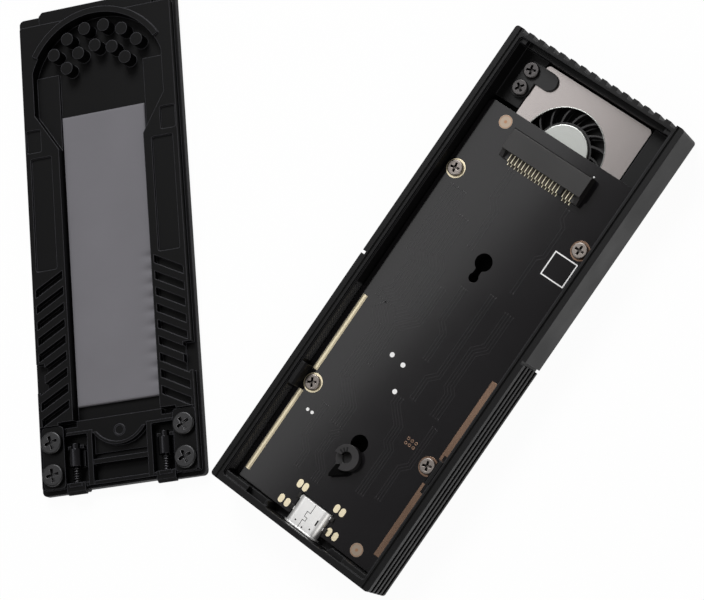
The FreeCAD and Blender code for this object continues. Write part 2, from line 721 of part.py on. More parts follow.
def blade():
    """One vane: a thin wall swept back on an arc from the ring to the tip."""
    low, high, _ = rotor_levels()
    root = HUB_RADIUS + BLADE_RING / 2
    middle = (root + BLADE_TIP) / 2
    half = BLADE_THICKNESS / 2

    def at(radius, angle):
        a = math.radians(angle)
        return V(radius * math.cos(a), radius * math.sin(a), low)

    def side(shift):
        angles = [math.degrees(shift / r) for r in (root, middle, BLADE_TIP)]
        return (at(root, angles[0]), at(middle, angles[1] - BLADE_SWEEP * 0.42),
                at(BLADE_TIP, angles[2] - BLADE_SWEEP))
    a = side(-half)
    b = side(half)
    edges = [Part.Arc(*a).toShape(), Part.makeLine(a[2], b[2]),
             Part.Arc(b[2], b[1], b[0]).toShape(), Part.makeLine(b[0], a[0])]
    vane = Part.Face(Part.Wire(edges)).extrude(V(0, 0, high - low))
    vane.translate(V(hub_x, hub_y, 0))
    return vane


def fan_blades():
    """Moulded ring pressed over the hub cup, with its vanes."""
    low, high, _ = rotor_levels()
    ring = disc(hub_x, hub_y, low, high, HUB_RADIUS + BLADE_RING)
    vane = blade()
    vanes = [turned(vane, 360.0 * k / BLADE_COUNT, hub_x, hub_y) for k in range(BLADE_COUNT)]
    rotor = ring.fuse(vanes)
    bore = disc(hub_x, hub_y, low - AIR, high + AIR, HUB_RADIUS + 0.01)
    return rotor.cut(bore).removeSplitter()


def fan_magnet():
    low, _, top = rotor_levels()
    outer = HUB_RADIUS - HUB_WALL - 0.01
    ring = disc(hub_x, hub_y, low, top - HUB_WALL - 0.4, outer)
    return ring.cut(disc(hub_x, hub_y, low - AIR, top, outer - MAGNET_THICKNESS))


def fan_shaft():
    _, _, top = rotor_levels()
    return disc(hub_x, hub_y, fan_floor_top + 0.2, top - HUB_WALL, SHAFT_RADIUS)


def fan_bearing():
    bush = disc(hub_x, hub_y, fan_floor_top, cover_bottom - 1.0, BEARING_RADIUS)
    return bush.cut(disc(hub_x, hub_y, fan_floor_top - AIR, fan_top, SHAFT_RADIUS + RUNNING_GAP))


def stator_levels():
    low = fan_floor_top + DRIVER_BOARD + COIL_THICKNESS + 0.1
    return low, low + POLE_THICKNESS


def pole_reach():
    return HUB_RADIUS - HUB_WALL - MAGNET_THICKNESS - ROTOR_GAP


def fan_stator():
    """Stack of steel sheets: a ring on the bearing post and six T-shaped poles."""
    low, high = stator_levels()
    inner = BEARING_RADIUS + POST_WALL + 0.02
    tip = pole_reach()
    arms = [block(hub_x + inner, hub_x + tip - 0.2, hub_y - POLE_WIDTH / 2,
                  hub_y + POLE_WIDTH / 2, low, high)]
    shoe = disc(hub_x, hub_y, low, high, tip)
    shoe = shoe.cut(disc(hub_x, hub_y, low - AIR, high + AIR, tip - 0.5))
    arms.append(shoe.common(block(hub_x, hub_x + tip, hub_y - POLE_WIDTH, hub_y + POLE_WIDTH,
                                  low, high)))
    stack = disc(hub_x, hub_y, low, high, inner + 0.7)
    for k in range(POLE_COUNT):
        stack = stack.fuse([turned(arm, 360.0 * k / POLE_COUNT, hub_x, hub_y) for arm in arms])
    return stack.cut(disc(hub_x, hub_y, low - AIR, high + AIR, inner)).removeSplitter()


def fan_coils():
    """One winding round each pole."""
    low, high = stator_levels()
    t = COIL_THICKNESS
    start = hub_x + BEARING_RADIUS + POST_WALL + 0.8
    end = hub_x + pole_reach() - 0.6
    half = POLE_WIDTH / 2 + 0.02
    coil = block(start, end, hub_y - half - t * 0.6, hub_y + half + t * 0.6, low - t, high + t)
    coil = coil.cut(block(start - AIR, end + AIR, hub_y - half, hub_y + half, low - 0.02, high + 0.02))
    return [turned(coil, 360.0 * k / POLE_COUNT, hub_x, hub_y) for k in range(POLE_COUNT)]


def fan_driver_board():
    plate = disc(hub_x, hub_y, fan_floor_top, fan_floor_top + DRIVER_BOARD, pole_reach())
    return plate.cut(disc(hub_x, hub_y, FLOOR, fan_top, BEARING_RADIUS + POST_WALL + 0.02))


def fan_clamp():
    """Flat bracket under two screws, with a round-ended tab over the blower's plate."""
    low, high = fan_top, fan_top + CLAMP_THICKNESS
    r = CLAMP_RADIUS
    x = clamp_x
    second = clamp_y - CLAMP_SCREW_PITCH
    tip = FAN_X - FAN_SIZE / 2 + CLAMP_REACH - r
    leaf = disc(x, clamp_y, low, high, r).fuse([
        disc(x, second, low, high, r), block(x - r, x + r, second, clamp_y, low, high),
        block(x, tip, clamp_y - r, clamp_y + r, low, high), disc(tip, clamp_y, low, high, r)])
    holes = [disc(x, y, low - AIR, high + AIR, BOARD_SCREW_SHANK + 0.1) for y in (clamp_y, second)]
    return leaf.cut(holes).removeSplitter()


def fan_clamp_screws():
    seat = fan_top + CLAMP_THICKNESS
    return [pan_screw(clamp_x, y, seat, BOARD_SCREW_HEAD, BOARD_SCREW_SHANK,
                      BOARD_SCREW_LENGTH, turn)
            for y, turn in ((clamp_y, 20), (clamp_y - CLAMP_SCREW_PITCH, 55))]


# Lid, drawn about its own centre

def lid_plate():
    """Outer plate with its flange, the inner plateau and the nose of the fan end."""
    plate = rounded_block(-lid_half, lid_half, -lid_end, lid_end, 0, FLANGE_HEIGHT, LID_CORNER)
    outer = [e for e in plate.Edges if all(v.Z < LID_CHAMFER / 2 for v in e.Vertexes)]
    plate = plate.makeChamfer(LID_CHAMFER, outer)
    plateau = rounded_block(-plateau_x, plateau_x, plateau_low, plateau_high,
                            FLANGE_HEIGHT / 2, plateau_z, LID_CORNER / 2)
    half = NOSE_WIDTH / 2
    tip = lid_end + NOSE_REACH
    nose = prism([(-half - 0.9, plateau_high - AIR), (half + 0.9, plateau_high - AIR),
                  (half + 0.9, tip - 0.9), (half, tip), (-half, tip), (-half - 0.9, tip - 0.9)],
                 FLANGE_HEIGHT, FLANGE_HEIGHT + NOSE_THICKNESS)
    return plate.fuse([plateau, nose])


def basin():
    """Room over the blower: a round end inside the arc wall, straight sides and a taper."""
    inner = arc_radius - ARC_BAND
    half = CHANNEL_WIDTH / 2
    side = basin_half
    low = arc_y - BASIN_LENGTH
    step = arc_y + BASIN_STEP
    top = plateau_z + AIR
    field = block(-side, side, arc_y, arc_y + inner, CHANNEL_FLOOR, top)
    round_end = disc(0, arc_y, BASIN_FLOOR, top, inner).common(field)
    deep = disc(0, arc_y, CHANNEL_FLOOR, top, inner).common(
        block(-side, side, step, arc_y + inner, CHANNEL_FLOOR, top))
    sides = prism([(-side, arc_y), (-side, low), (-half, low - BASIN_TAPER), (half, low - BASIN_TAPER),
                   (side, low), (side, arc_y)], BASIN_FLOOR, top)
    return [round_end, deep, sides]


def channel():
    half = CHANNEL_WIDTH / 2
    return block(-half, half, channel_low, arc_y + BASIN_STEP + 0.1, CHANNEL_FLOOR, plateau_z + AIR)


def arc_wall():
    """Raised band round the end of the basin."""
    top = plateau_z + ARC_RISE
    band = disc(0, arc_y, CHANNEL_FLOOR / 2, top, arc_radius)
    band = band.cut(disc(0, arc_y, 0, top + AIR, arc_radius - ARC_BAND))
    reach = 2 * arc_radius
    a = math.radians(ARC_SWEEP)
    wedge = prism([(0, arc_y), (reach * math.sin(a), arc_y + reach * math.cos(a)), (reach, arc_y + reach),
                   (-reach, arc_y + reach), (-reach * math.sin(a), arc_y + reach * math.cos(a))],
                  0, top + AIR)
    return band.common(wedge)


def lid_posts():
    """Round posts on two arcs, which carry heat from the lid into the air that enters the blower."""
    top = plateau_z + POST_RISE
    places = [(arc_radius - OUTER_POSTS, OUTER_POST_STEP * (k + 0.5)) for k in range(-3, 3)]
    places += [(arc_radius - INNER_POSTS, INNER_POST_STEP * k) for k in range(-2, 3)]
    posts = []
    for radius, angle in places:
        a = math.radians(angle)
        posts.append(disc(radius * math.sin(a), arc_y + POSTS_AHEAD + radius * math.cos(a),
                          CHANNEL_FLOOR / 2, top, POST_RADIUS))
    return posts


def lid_recesses():
    """Shallow pocket and long panel of the right rail."""
    low = plateau_z - PANEL_DEPTH
    top = plateau_z + AIR
    rail = CHANNEL_WIDTH / 2
    panel_top = arc_y - BASIN_LENGTH - BASIN_TAPER - 1.4
    pocket = rounded_block(rail + 4.7, plateau_x - 0.4, panel_top + 1.5, panel_top + 7.3, low, top, 0.5)
    panel = rounded_block(rail + 2.1, plateau_x - 1.3, fin_start + 0.6, panel_top, low, top, 0.5)
    return [pocket, panel]


def fin_slots():
    """Slanting slots of the right rail. What stands between them are the fins."""
    inner = CHANNEL_WIDTH / 2 + 0.8
    outer = plateau_x - 0.8
    low = plateau_z - FIN_DEPTH
    slots = []
    for k in range(FIN_COUNT):
        y = fin_start - k * FIN_PITCH
        slots.append(prism([(inner, y), (inner, y - FIN_SLOT), (outer, y - FIN_SLOT - FIN_DROP),
                            (outer, y - FIN_DROP)], low, plateau_z + AIR))
    return slots


def clip_notch():
    """Notch in the right edge of the plateau that drops over the housing's clip block."""
    half = CLIP_LENGTH / 2 + LID_GAP * 2
    return block(cavity_x - CLIP_REACH - LID_GAP * 5, plateau_x + AIR, low_screw_y - half,
                 low_screw_y + half, FLANGE_HEIGHT, plateau_z + AIR)


def latch_levels():
    """Underside and top of the slider, and the seat of the side plates."""
    low = CHANNEL_FLOOR + SLIDER_LIFT
    top = low + SLIDER_THICKNESS
    return low, top, top + SLIDER_LIFT


def latch_lines():
    """High end and low end of the bay, and the high end of the slider at rest."""
    low = -lid_end + BAY_WALL
    return channel_low, low, channel_low - TRAVEL - 0.1


def lid_screws_at():
    low = -lid_end + LID_SCREW_INSET
    return [(side * lid_screw_x, y) for side in (-1, 1) for y in (low, low + LID_SCREW_PITCH)]


def latch_bay():
    """Room for the slider, seats of the side plates and window of the grip, open at the latch end."""
    seat = latch_levels()[2]
    high, low, _ = latch_lines()
    top = plateau_z + AIR
    tools = [block(-bay_half, bay_half, low, high + 0.01, CHANNEL_FLOOR, top)]
    tools += both_sides(block(plate_edge - 0.2, plateau_x - 0.2, low, high - 0.6, seat, top))
    tools.append(block(-GRIP_WIDTH / 2 - LID_GAP, GRIP_WIDTH / 2 + LID_GAP, grip_low() - LID_GAP,
                       grip_low() + GRIP_LENGTH + TRAVEL + LID_GAP, -AIR, CHANNEL_FLOOR + AIR))
    tools.append(block(-catch_inner, catch_inner, -lid_end - AIR, -lid_end + BAY_WALL / 2,
                       -AIR, plateau_z + AIR))
    return tools


def grip_low():
    """Low end of the grip under the slider."""
    _, _, slider_high = latch_lines()
    return slider_high - SLIDER_BAR - 3.4


def guide_centre():
    """Height of the guides' axis, and the low and high ends of the barrel."""
    high = latch_lines()[2] - SLIDER_BAR - 3.6
    return CHANNEL_FLOOR + GUIDE_RADIUS + 0.1, high - GUIDE_LENGTH, high


def guide_seats():
    """Saddle under each barrel and a notched wall round each neck, right side."""
    z, low, high = guide_centre()
    width = GUIDE_RADIUS + 0.3
    saddle = block(guide_x - width, guide_x + width, low + 0.2, high - 0.2,
                   CHANNEL_FLOOR / 2, z - GUIDE_RADIUS * 0.4)
    saddle = saddle.cut(rod(guide_x, z, low, high, GUIDE_RADIUS + 0.02))
    wall = block(guide_x - width, guide_x + width, high + 0.2, high + 1.0, CHANNEL_FLOOR / 2, z)
    wall = wall.cut(rod(guide_x, z, high, high + 2.0, GUIDE_NECK + 0.02))
    return [saddle, wall]


def lid_shell():
    body = lid_plate()
    tools = basin() + [channel()] + latch_bay()
    for tool in lid_recesses() + fin_slots() + [clip_notch()]:
        tools += both_sides(tool)
    body = body.cut(tools)
    added = [arc_wall()] + lid_posts()
    for piece in guide_seats():
        added += both_sides(piece)
    body = body.fuse(added)
    _, _, seat = latch_levels()
    holes = [disc(x, y, seat - 1.8, seat + AIR, LID_SCREW_SHANK + SCREW_GAP)
             for x, y in lid_screws_at()]
    return body.cut(holes).removeSplitter()


def lid_pad():
    half = CHANNEL_WIDTH / 2 - PAD_SIDE_GAP
    return block(-half, half, pad_low, pad_low + LONG_CARD - PAD_SHORT,
                 CHANNEL_FLOOR, CHANNEL_FLOOR + PAD_THICKNESS)


def slider_plate():
    """Top bar, the plate that reaches into the channel, and the round thumb bump with its lip."""
    low, top, _ = latch_levels()
    high = latch_lines()[2]
    half = bay_half - LID_GAP
    middle = CHANNEL_WIDTH / 2 - LID_GAP
    bar_low = high - SLIDER_BAR
    tip = bar_low - BUMP_REACH
    centre = tip + BUMP_RADIUS
    lip_top = top + 0.4
    field = block(-rail_x, rail_x, tip, bar_low, low, lip_top)
    bump = disc(0, centre, low, top, BUMP_RADIUS).common(field)
    lip = disc(0, centre, low, lip_top, BUMP_RADIUS).cut(disc(0, centre, 0, FLANGE_HEIGHT * 3,
                                                             BUMP_RADIUS - 0.7))
    button = disc(0, bar_low - 0.3, low, top + 0.15, 1.45).cut(disc(0, bar_low - 0.3, top, lip_top, 1.1))
    side_lip = block(rail_x - RAIL_WIDTH / 2, plate_edge - 0.5, bar_low, bar_low + 0.7, low, lip_top)
    web = block(-rail_x, rail_x, grip_low() - LID_GAP - TRAVEL - 0.1, bar_low, low, low + SLIDER_WEB)
    bar = block(-half, half, bar_low, high, low, top)
    plate = block(-middle, middle, high, channel_low, low, top)
    return [bar, plate, web, bump, lip.common(field), button] + both_sides(side_lip)


def slider_frame():
    """Two rails, the middle bar and the low bar, with a thick place round each spring pin."""
    low, top, _ = latch_levels()
    _, bay_low, high = latch_lines()
    half = bay_half - LID_GAP
    bar_low = high - SLIDER_BAR
    end = bay_low + SLIDER_LIFT
    z = guide_centre()[0]
    rail = block(rail_x - RAIL_WIDTH / 2, rail_x + RAIL_WIDTH / 2, end, bar_low + 0.5, low, top + 0.4)
    middle = bar_low - MIDDLE_BAR_AT
    bars = [block(-rail_x, rail_x, middle - MIDDLE_BAR / 2, middle + MIDDLE_BAR / 2, low, top),
            block(-half, half, end, end + LOW_BAR, low, top)]
    boss = block(guide_x - 1.6, guide_x + 1.6, end, end + LOW_BAR, low, z + 1.1)
    return bars + both_sides(rail) + both_sides(boss)


def slider_catch():
    """Tongue of the right side, sloped so that the rim pushes it back, over the lid's end."""
    end = latch_lines()[1] + SLIDER_LIFT
    tip = -lid_end - CATCH_REACH
    low = FLANGE_HEIGHT + 0.1
    outline = [(end + LOW_BAR, low), (tip, low), (tip, low + 0.5), (tip + 0.7, low + CATCH_THICKNESS),
               (end + LOW_BAR, low + CATCH_THICKNESS)]
    corners = [V(catch_inner, y, z) for y, z in outline]
    face = Part.Face(Part.makePolygon(corners + corners[:1]))
    return face.extrude(V(CATCH_WIDTH, 0, 0))


def latch_slider():
    """Sliding plate that the thumb moves by the grip on the lid's outer side."""
    low = latch_levels()[0]
    grip = block(-GRIP_WIDTH / 2, GRIP_WIDTH / 2, grip_low(), grip_low() + GRIP_LENGTH, LID_GAP, low + 0.2)
    pieces = slider_plate() + slider_frame() + both_sides(slider_catch()) + [grip]
    body = pieces[0].fuse(pieces[1:])
    z = guide_centre()[0]
    pin_end = latch_lines()[1] + SLIDER_LIFT * 2
    bore = rod(guide_x, z, pin_end - TRAVEL - 0.1, pin_end + LOW_BAR + AIR, GUIDE_PIN + RUNNING_GAP)
    return body.cut(both_sides(bore)).removeSplitter()


def spring_guide():
    """Turned guide of the right spring: neck, barrel and thin pin on one axis."""
    z, low, high = guide_centre()
    end = latch_lines()[1] + SLIDER_LIFT * 2
    barrel = rod(guide_x, z, low, high, GUIDE_RADIUS)
    return barrel.fuse([rod(guide_x, z, high - 0.1, high + 1.4, GUIDE_NECK),
                        rod(guide_x, z, end, low + 0.1, GUIDE_PIN)]).removeSplitter()


def polygon_face(points):
    return Part.Face(Part.makePolygon(points + points[:1]))


def latch_spring():
    """Coil spring of six-sided wire round the thin pin, from the slider's low bar to the barrel."""
    z, barrel_low, _ = guide_centre()
    sides, steps = 6, 12
    start = latch_lines()[1] + SLIDER_LIFT + LOW_BAR + SPRING_WIRE + 0.02
    pitch = (barrel_low - SPRING_WIRE - 0.02 - start) / SPRING_TURNS
    rings = []
    for k in range(SPRING_TURNS * steps + 1):
        a = 2 * math.pi * k / steps
        ring = []
        for j in range(sides):
            b = 2 * math.pi * j / sides
            r = SPRING_RADIUS + SPRING_WIRE * math.cos(b)
            ring.append(V(guide_x + r * math.cos(a), start + pitch * k / steps + SPRING_WIRE * math.sin(b),
                          z + r * math.sin(a)))
        rings.append(ring)
    faces = [polygon_face(rings[0]), polygon_face(rings[-1][::-1])]
    for p, q in zip(rings, rings[1:]):
        for j in range(sides):
            i = (j + 1) % sides
            faces += [polygon_face([p[i], p[j], q[j]]), polygon_face([p[i], q[j], q[i]])]
    return Part.Solid(Part.Shell(faces))


def latch_plate():
    """Side plate with two screws that keeps the slider in its bay, right side."""
    _, _, seat = latch_levels()
    high, low, _ = latch_lines()
    plate = rounded_block(plate_edge, plateau_x - 0.3, low + 0.2, high - 0.8,
                          seat, seat + PLATE_THICKNESS, 1.0)
    holes = [disc(x, y, seat - AIR, seat + 2, LID_SCREW_SHANK + 0.1) for x, y in lid_screws_at()]
    return plate.cut(holes)


def latch_screws():
    seat = latch_levels()[2] + PLATE_THICKNESS
    return [pan_screw(x, y, seat, LID_SCREW_HEAD, LID_SCREW_SHANK, PLATE_THICKNESS + 1.6, 8 + 7 * k)
            for k, (x, y) in enumerate(lid_screws_at())]


def build():
    os.makedirs("parts", exist_ok=True)
    save("housing_shell", housing_shell())
    for (y0, y1), place in zip(windows(), ("mid", "end")):
        save("dust_screen_right_" + place, dust_screen(y0, y1))
        save("dust_screen_left_" + place, mirrored(dust_screen(y0, y1)))
    save("main_board", main_board())
    save("board_screws", *board_screws())
    save("ssd_socket_body", ssd_socket_body())
    save("ssd_socket_contacts", *ssd_socket_contacts())
    save("usb_c_shell", usb_c_shell())
    save("usb_c_tongue", usb_c_tongue())
    save("ssd_retainer", ssd_retainer())
    save("bridge_chip", bridge_chip())
    save("bridge_pad", bridge_pad())
    save("power_coil", power_coil())
    save("small_chips", *small_chips())
    save("fan_base", fan_base())
    save("fan_cover_plate", fan_cover_plate())
    save("fan_hub", fan_hub())
    save("fan_blades", fan_blades())
    save("fan_magnet", fan_magnet())
    save("fan_shaft", fan_shaft())
    save("fan_bearing", fan_bearing())
    save("fan_stator", fan_stator())
    save("fan_coils", *fan_coils())
    save("fan_driver_board", fan_driver_board())
    save("fan_clamp", fan_clamp())
    save("fan_clamp_screws", *fan_clamp_screws())
    save("lid_shell", on_floor(lid_shell()))
    save("lid_pad", on_floor(lid_pad()))
    save("latch_slider", on_floor(latch_slider()))
    save("spring_guide_right", on_floor(spring_guide()))
    save("spring_guide_left", on_floor(mirrored(spring_guide())))
    save("latch_spring_right", on_floor(latch_spring()))
    save("latch_spring_left", on_floor(mirrored(latch_spring())))
    save("latch_plate_right", on_floor(latch_plate()))
    save("latch_plate_left", on_floor(mirrored(latch_plate())))
    save("latch_screws", *[on_floor(screw) for screw in latch_screws()])


build()
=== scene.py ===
import json
import math

import bmesh
import bpy
from mathutils import Matrix, Vector


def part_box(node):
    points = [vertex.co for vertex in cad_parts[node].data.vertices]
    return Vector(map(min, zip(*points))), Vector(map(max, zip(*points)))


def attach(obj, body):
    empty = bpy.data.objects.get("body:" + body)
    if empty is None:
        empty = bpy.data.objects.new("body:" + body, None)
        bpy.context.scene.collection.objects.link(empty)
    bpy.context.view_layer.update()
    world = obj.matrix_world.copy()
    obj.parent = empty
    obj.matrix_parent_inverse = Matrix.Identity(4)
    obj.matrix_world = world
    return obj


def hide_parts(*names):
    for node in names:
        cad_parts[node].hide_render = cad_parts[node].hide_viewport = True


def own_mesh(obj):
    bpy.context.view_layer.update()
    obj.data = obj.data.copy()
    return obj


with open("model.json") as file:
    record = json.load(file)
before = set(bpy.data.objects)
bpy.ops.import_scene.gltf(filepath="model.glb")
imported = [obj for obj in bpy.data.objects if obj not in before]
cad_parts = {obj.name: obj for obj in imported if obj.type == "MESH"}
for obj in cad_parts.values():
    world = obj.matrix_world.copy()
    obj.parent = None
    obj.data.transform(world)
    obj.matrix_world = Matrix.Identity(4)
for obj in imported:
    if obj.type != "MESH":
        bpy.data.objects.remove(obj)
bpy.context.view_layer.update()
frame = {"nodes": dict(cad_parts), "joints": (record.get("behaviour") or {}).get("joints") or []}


# Housing
# A tray moulded in black plastic with a fine satin grain, open side up. The lid's edge
# drops into the step of its rim, and the ribs of its fan end let the warm air out.

MM = 0.001
GROOVE_DEPTH = 0.35
SHADE_IN_DEPTH = 0.03               # how much of its colour a surface keeps as painted shade deep in a recess or groove


def node(tree, kind, inputs=(), **settings):
    """Adds one shader node. An input takes a plain value or the socket that feeds it."""
    made = tree.nodes.new("ShaderNode" + kind)
    for key, value in settings.items():
        setattr(made, key, value)
    for key, value in dict(inputs).items():
        if isinstance(value, bpy.types.NodeSocket):
            tree.links.new(value, made.inputs[key])
        else:
            made.inputs[key].default_value = value
    return made


def new_group(name, inputs, outputs):
    """An empty shader group with named sockets, and its inner ends."""
    group = bpy.data.node_groups.new(name, "ShaderNodeTree")
    for label, value in inputs:
        kind = "NodeSocketVector" if isinstance(value, tuple) else "NodeSocketFloat"
        group.interface.new_socket(label, in_out="INPUT", socket_type=kind).default_value = value
    for label, kind in outputs:
        group.interface.new_socket(label, in_out="OUTPUT", socket_type="NodeSocket" + kind)
    return group, group.nodes.new("NodeGroupInput"), group.nodes.new("NodeGroupOutput")


def grain_group():
    """Fine moulded grain as a height, and slow cloudy change of tone."""
    group, start, end = new_group("moulded_grain", [("Size", 0.3 * MM)],
                                  [("Height", "Float"), ("Tone", "Float")])
    place = node(group, "TexCoord")
    scale = node(group, "Math", {0: 1.0, 1: start.outputs["Size"]}, operation="DIVIDE")
    fine = node(group, "TexNoise", {"Vector": place.outputs["Object"], "Scale": scale.outputs[0],
                                    "Detail": 2.0, "Roughness": 0.55})
    slow = node(group, "TexNoise", {"Vector": place.outputs["Object"], "Scale": 70.0, "Detail": 3.0})
    group.links.new(fine.outputs["Fac"], end.inputs["Height"])
    group.links.new(slow.outputs["Fac"], end.inputs["Tone"])
    return group


def edge_group():
    """Normal that rolls over each sharp edge, and a mask of those edges, where a painted highlight goes."""
    group, start, end = new_group("rolled_edges", [("Radius", 0.15 * MM)],
                                  [("Normal", "Vector"), ("Mask", "Float")])
    rolled = node(group, "Bevel", {"Radius": start.outputs["Radius"]}, samples=6)
    flat = node(group, "NewGeometry")
    dot = node(group, "VectorMath", {0: rolled.outputs[0], 1: flat.outputs["Normal"]},
               operation="DOT_PRODUCT")
    mask = node(group, "MapRange", {"Value": dot.outputs["Value"], "From Min": 0.995, "From Max": 0.86,
                                    "To Min": 0.0, "To Max": 1.0})
    group.links.new(rolled.outputs[0], end.inputs["Normal"])
    group.links.new(mask.outputs[0], end.inputs["Mask"])
    return group


def recess_shade_group():
    """Mask of deep corners and recesses, where shade is painted in: 1 in the open, 0 deep inside."""
    group, start, end = new_group("crevices", [("Reach", 0.5 * MM)], [("Open", "Float")])
    hidden = node(group, "AmbientOcclusion", {"Distance": start.outputs["Reach"]}, samples=8)
    open_part = node(group, "MapRange", {"Value": hidden.outputs["AO"], "From Min": 0.35, "From Max": 0.8,
                                         "To Min": 0.0, "To Max": 1.0})
    group.links.new(open_part.outputs[0], end.inputs["Open"])
    return group


def lip_group():
    """Mask of the fine groove that runs along the rim on both long sides, for the lid's lip."""
    group, start, end = new_group("lip_groove", [("Place", 22.4 * MM), ("Half Width", 0.25 * MM),
                                                 ("Rim", 11.5 * MM)], [("Mask", "Float")])
    place = node(group, "TexCoord")
    parts = node(group, "SeparateXYZ", {0: place.outputs["Object"]})
    side = node(group, "Math", {0: parts.outputs["X"]}, operation="ABSOLUTE")
    away = node(group, "Math", {0: side.outputs[0], 1: start.outputs["Place"]}, operation="SUBTRACT")
    away = node(group, "Math", {0: away.outputs[0]}, operation="ABSOLUTE")
    near = node(group, "MapRange", {"Value": away.outputs[0], "From Min": start.outputs["Half Width"],
                                    "From Max": 0.0, "To Min": 0.0, "To Max": 1.0})
    high = node(group, "Math", {0: parts.outputs["Z"], 1: start.outputs["Rim"]}, operation="GREATER_THAN")
    both = node(group, "Math", {0: near.outputs[0], 1: high.outputs[0]}, operation="MULTIPLY")
    group.links.new(both.outputs[0], end.inputs["Mask"])
    return group


MOULDED_GRAIN = grain_group()
ROLLED_EDGES = edge_group()
RECESS_SHADE = recess_shade_group()
LIP_GROOVE = lip_group()


def linear(red, green, blue):
    """The linear colour of a tone given as it looks on a screen, 0 to 255."""
    return tuple(((c / 255 + 0.055) / 1.055) ** 2.4 if c > 10 else c / 255 / 12.92
                 for c in (red, green, blue)) + (1.0,)


def times(colour, factor):
    """A colour made lighter or darker, with full opacity."""
    return tuple(min(1.0, c * factor) for c in colour[:3]) + (1.0,)


def empty_material(name):
    """A material whose node tree is still empty."""
    made = bpy.data.materials.new(name)
    made.use_nodes = True
    made.node_tree.nodes.clear()
    return made, made.node_tree


def two_tones(tree, mask, colour, tone, ends=(0.0, 1.0)):
    """A colour that drifts from a darker to a lighter tone as a mask passes from one end to the other."""
    ramp = node(tree, "ValToRGB", {"Fac": mask})
    for element, place, factor in zip(ramp.color_ramp.elements, ends, (1.0 - tone, 1.0 + tone)):
        element.position = place
        element.color = times(colour, factor)
    return ramp.outputs["Color"]


def place_group(tree, group, **values):
    """Places a shader group in a material, with its own values."""
    made = tree.nodes.new("ShaderNodeGroup")
    made.node_tree = group
    for key, value in values.items():
        made.inputs[key].default_value = value
    return made


def surface(name, colour, roughness, metallic=0.0, specular=0.5, size=0.3, depth=0.004, tone=0.12,
            spread=0.06, radius=0.15, edge=1.5, crevice=0.0, groove=None):
    """A grained surface with rolled edges. Size and depth are those of its grain, in millimetres.
    Tone and spread are how much its colour and roughness vary. Radius is that of its edges, and
    edge is how much lighter their colour is painted, a painted highlight. Crevice is how deep its
    recesses have to be to get painted shade. Groove is a group that marks where a fine groove runs,
    painted dark as its shade."""
    made, tree = empty_material(name)
    grain = place_group(tree, MOULDED_GRAIN, Size=size * MM)
    edges = place_group(tree, ROLLED_EDGES, Radius=radius * MM)
    cloud = two_tones(tree, grain.outputs["Tone"], colour, tone, (0.3, 0.7))
    # Its edges are painted lighter: a painted highlight.
    shown = node(tree, "Mix", {"Factor": edges.outputs["Mask"], "A": cloud, "B": times(colour, edge)},
                 data_type="RGBA").outputs["Result"]
    # Recesses and the rim's groove are painted dark: painted shade.
    dark = times(colour, SHADE_IN_DEPTH)
    if crevice:
        deep = place_group(tree, RECESS_SHADE, Reach=crevice * MM)
        shown = node(tree, "Mix", {"Factor": deep.outputs["Open"], "A": dark, "B": shown},
                     data_type="RGBA").outputs["Result"]
    normal = edges.outputs["Normal"]
    if groove:
        cut = place_group(tree, groove)
        shown = node(tree, "Mix", {"Factor": cut.outputs["Mask"], "A": shown, "B": dark},
                     data_type="RGBA").outputs["Result"]
        normal = node(tree, "Bump", {"Strength": 1.0, "Distance": -GROOVE_DEPTH * MM,
                                     "Height": cut.outputs["Mask"], "Normal": normal}).outputs[0]
    rough = node(tree, "MapRange", {"Value": grain.outputs["Tone"], "From Min": 0.3, "From Max": 0.7,
                                    "To Min": roughness - spread, "To Max": roughness + spread})
    relief = node(tree, "Bump", {"Strength": 1.0, "Distance": depth * MM, "Height": grain.outputs["Height"],
                                 "Normal": normal})
    shader = node(tree, "BsdfPrincipled", {"Base Color": shown, "Roughness": rough.outputs[0],
                                           "Metallic": metallic, "Specular IOR Level": specular,
                                           "Normal": relief.outputs[0]})
    node(tree, "OutputMaterial", {"Surface": shader.outputs[0]})
    return made


def dress(material, *names):
    """Gives CAD nodes a material. Their shapes stay as they are."""
    for name in names:
        data = frame["nodes"][name].data
        data.materials.clear()
        data.materials.append(material)


# Its edges carry a painted highlight, and the groove along its rim is painted dark as shade.
housing_plastic = surface("housing_plastic", linear(12, 12, 13), 0.46, specular=0.18, size=0.28,
                          depth=0.006, radius=0.3, edge=10.0, groove=LIP_GROOVE)
dress(housing_plastic, "housing_shell")


# Dust screens
# Four thin black steel sheets with rows of fine round holes. Each lies in a seat behind the
# vent slots of the housing's side walls.

HOLE_PITCH = 0.85 * MM
HOLE_RADIUS = 0.3 * MM
WELD_GAP = 1e-4 * MM


def link_object(thing, name, place=(0.0, 0.0, 0.0), turn=(0.0, 0.0, 0.0)):
    """Puts a mesh, a lamp or a camera into the scene. Turn is in degrees."""
    made = bpy.data.objects.new(name, thing)
    made.location = place
    made.rotation_euler = [math.radians(a) for a in turn]
    bpy.context.scene.collection.objects.link(made)
    return made


def object_from(bm, name, material, body, smooth=False):
    """Turns a bmesh into a piece that moves with its body."""
    bmesh.ops.remove_doubles(bm, verts=bm.verts, dist=WELD_GAP)
    bmesh.ops.recalc_face_normals(bm, faces=bm.faces)
    mesh = bpy.data.meshes.new(name)
    bm.to_mesh(mesh)
    bm.free()
    mesh.materials.append(material)
    for face in mesh.polygons:
        face.use_smooth = smooth
    made = link_object(mesh, name)
    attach(made, body)
    return made


def cell_loop(x, y, z, radius, low, high):
    """The six corners of a cell or hole across x, kept within the sheet."""
    corners = []
    for k in range(6):
        a = math.radians(60 * k + 30)
        corners.append((x, min(max(y + radius * math.cos(a), low[1]), high[1]),
                        min(max(z + radius * math.sin(a), low[2]), high[2])))
    return corners


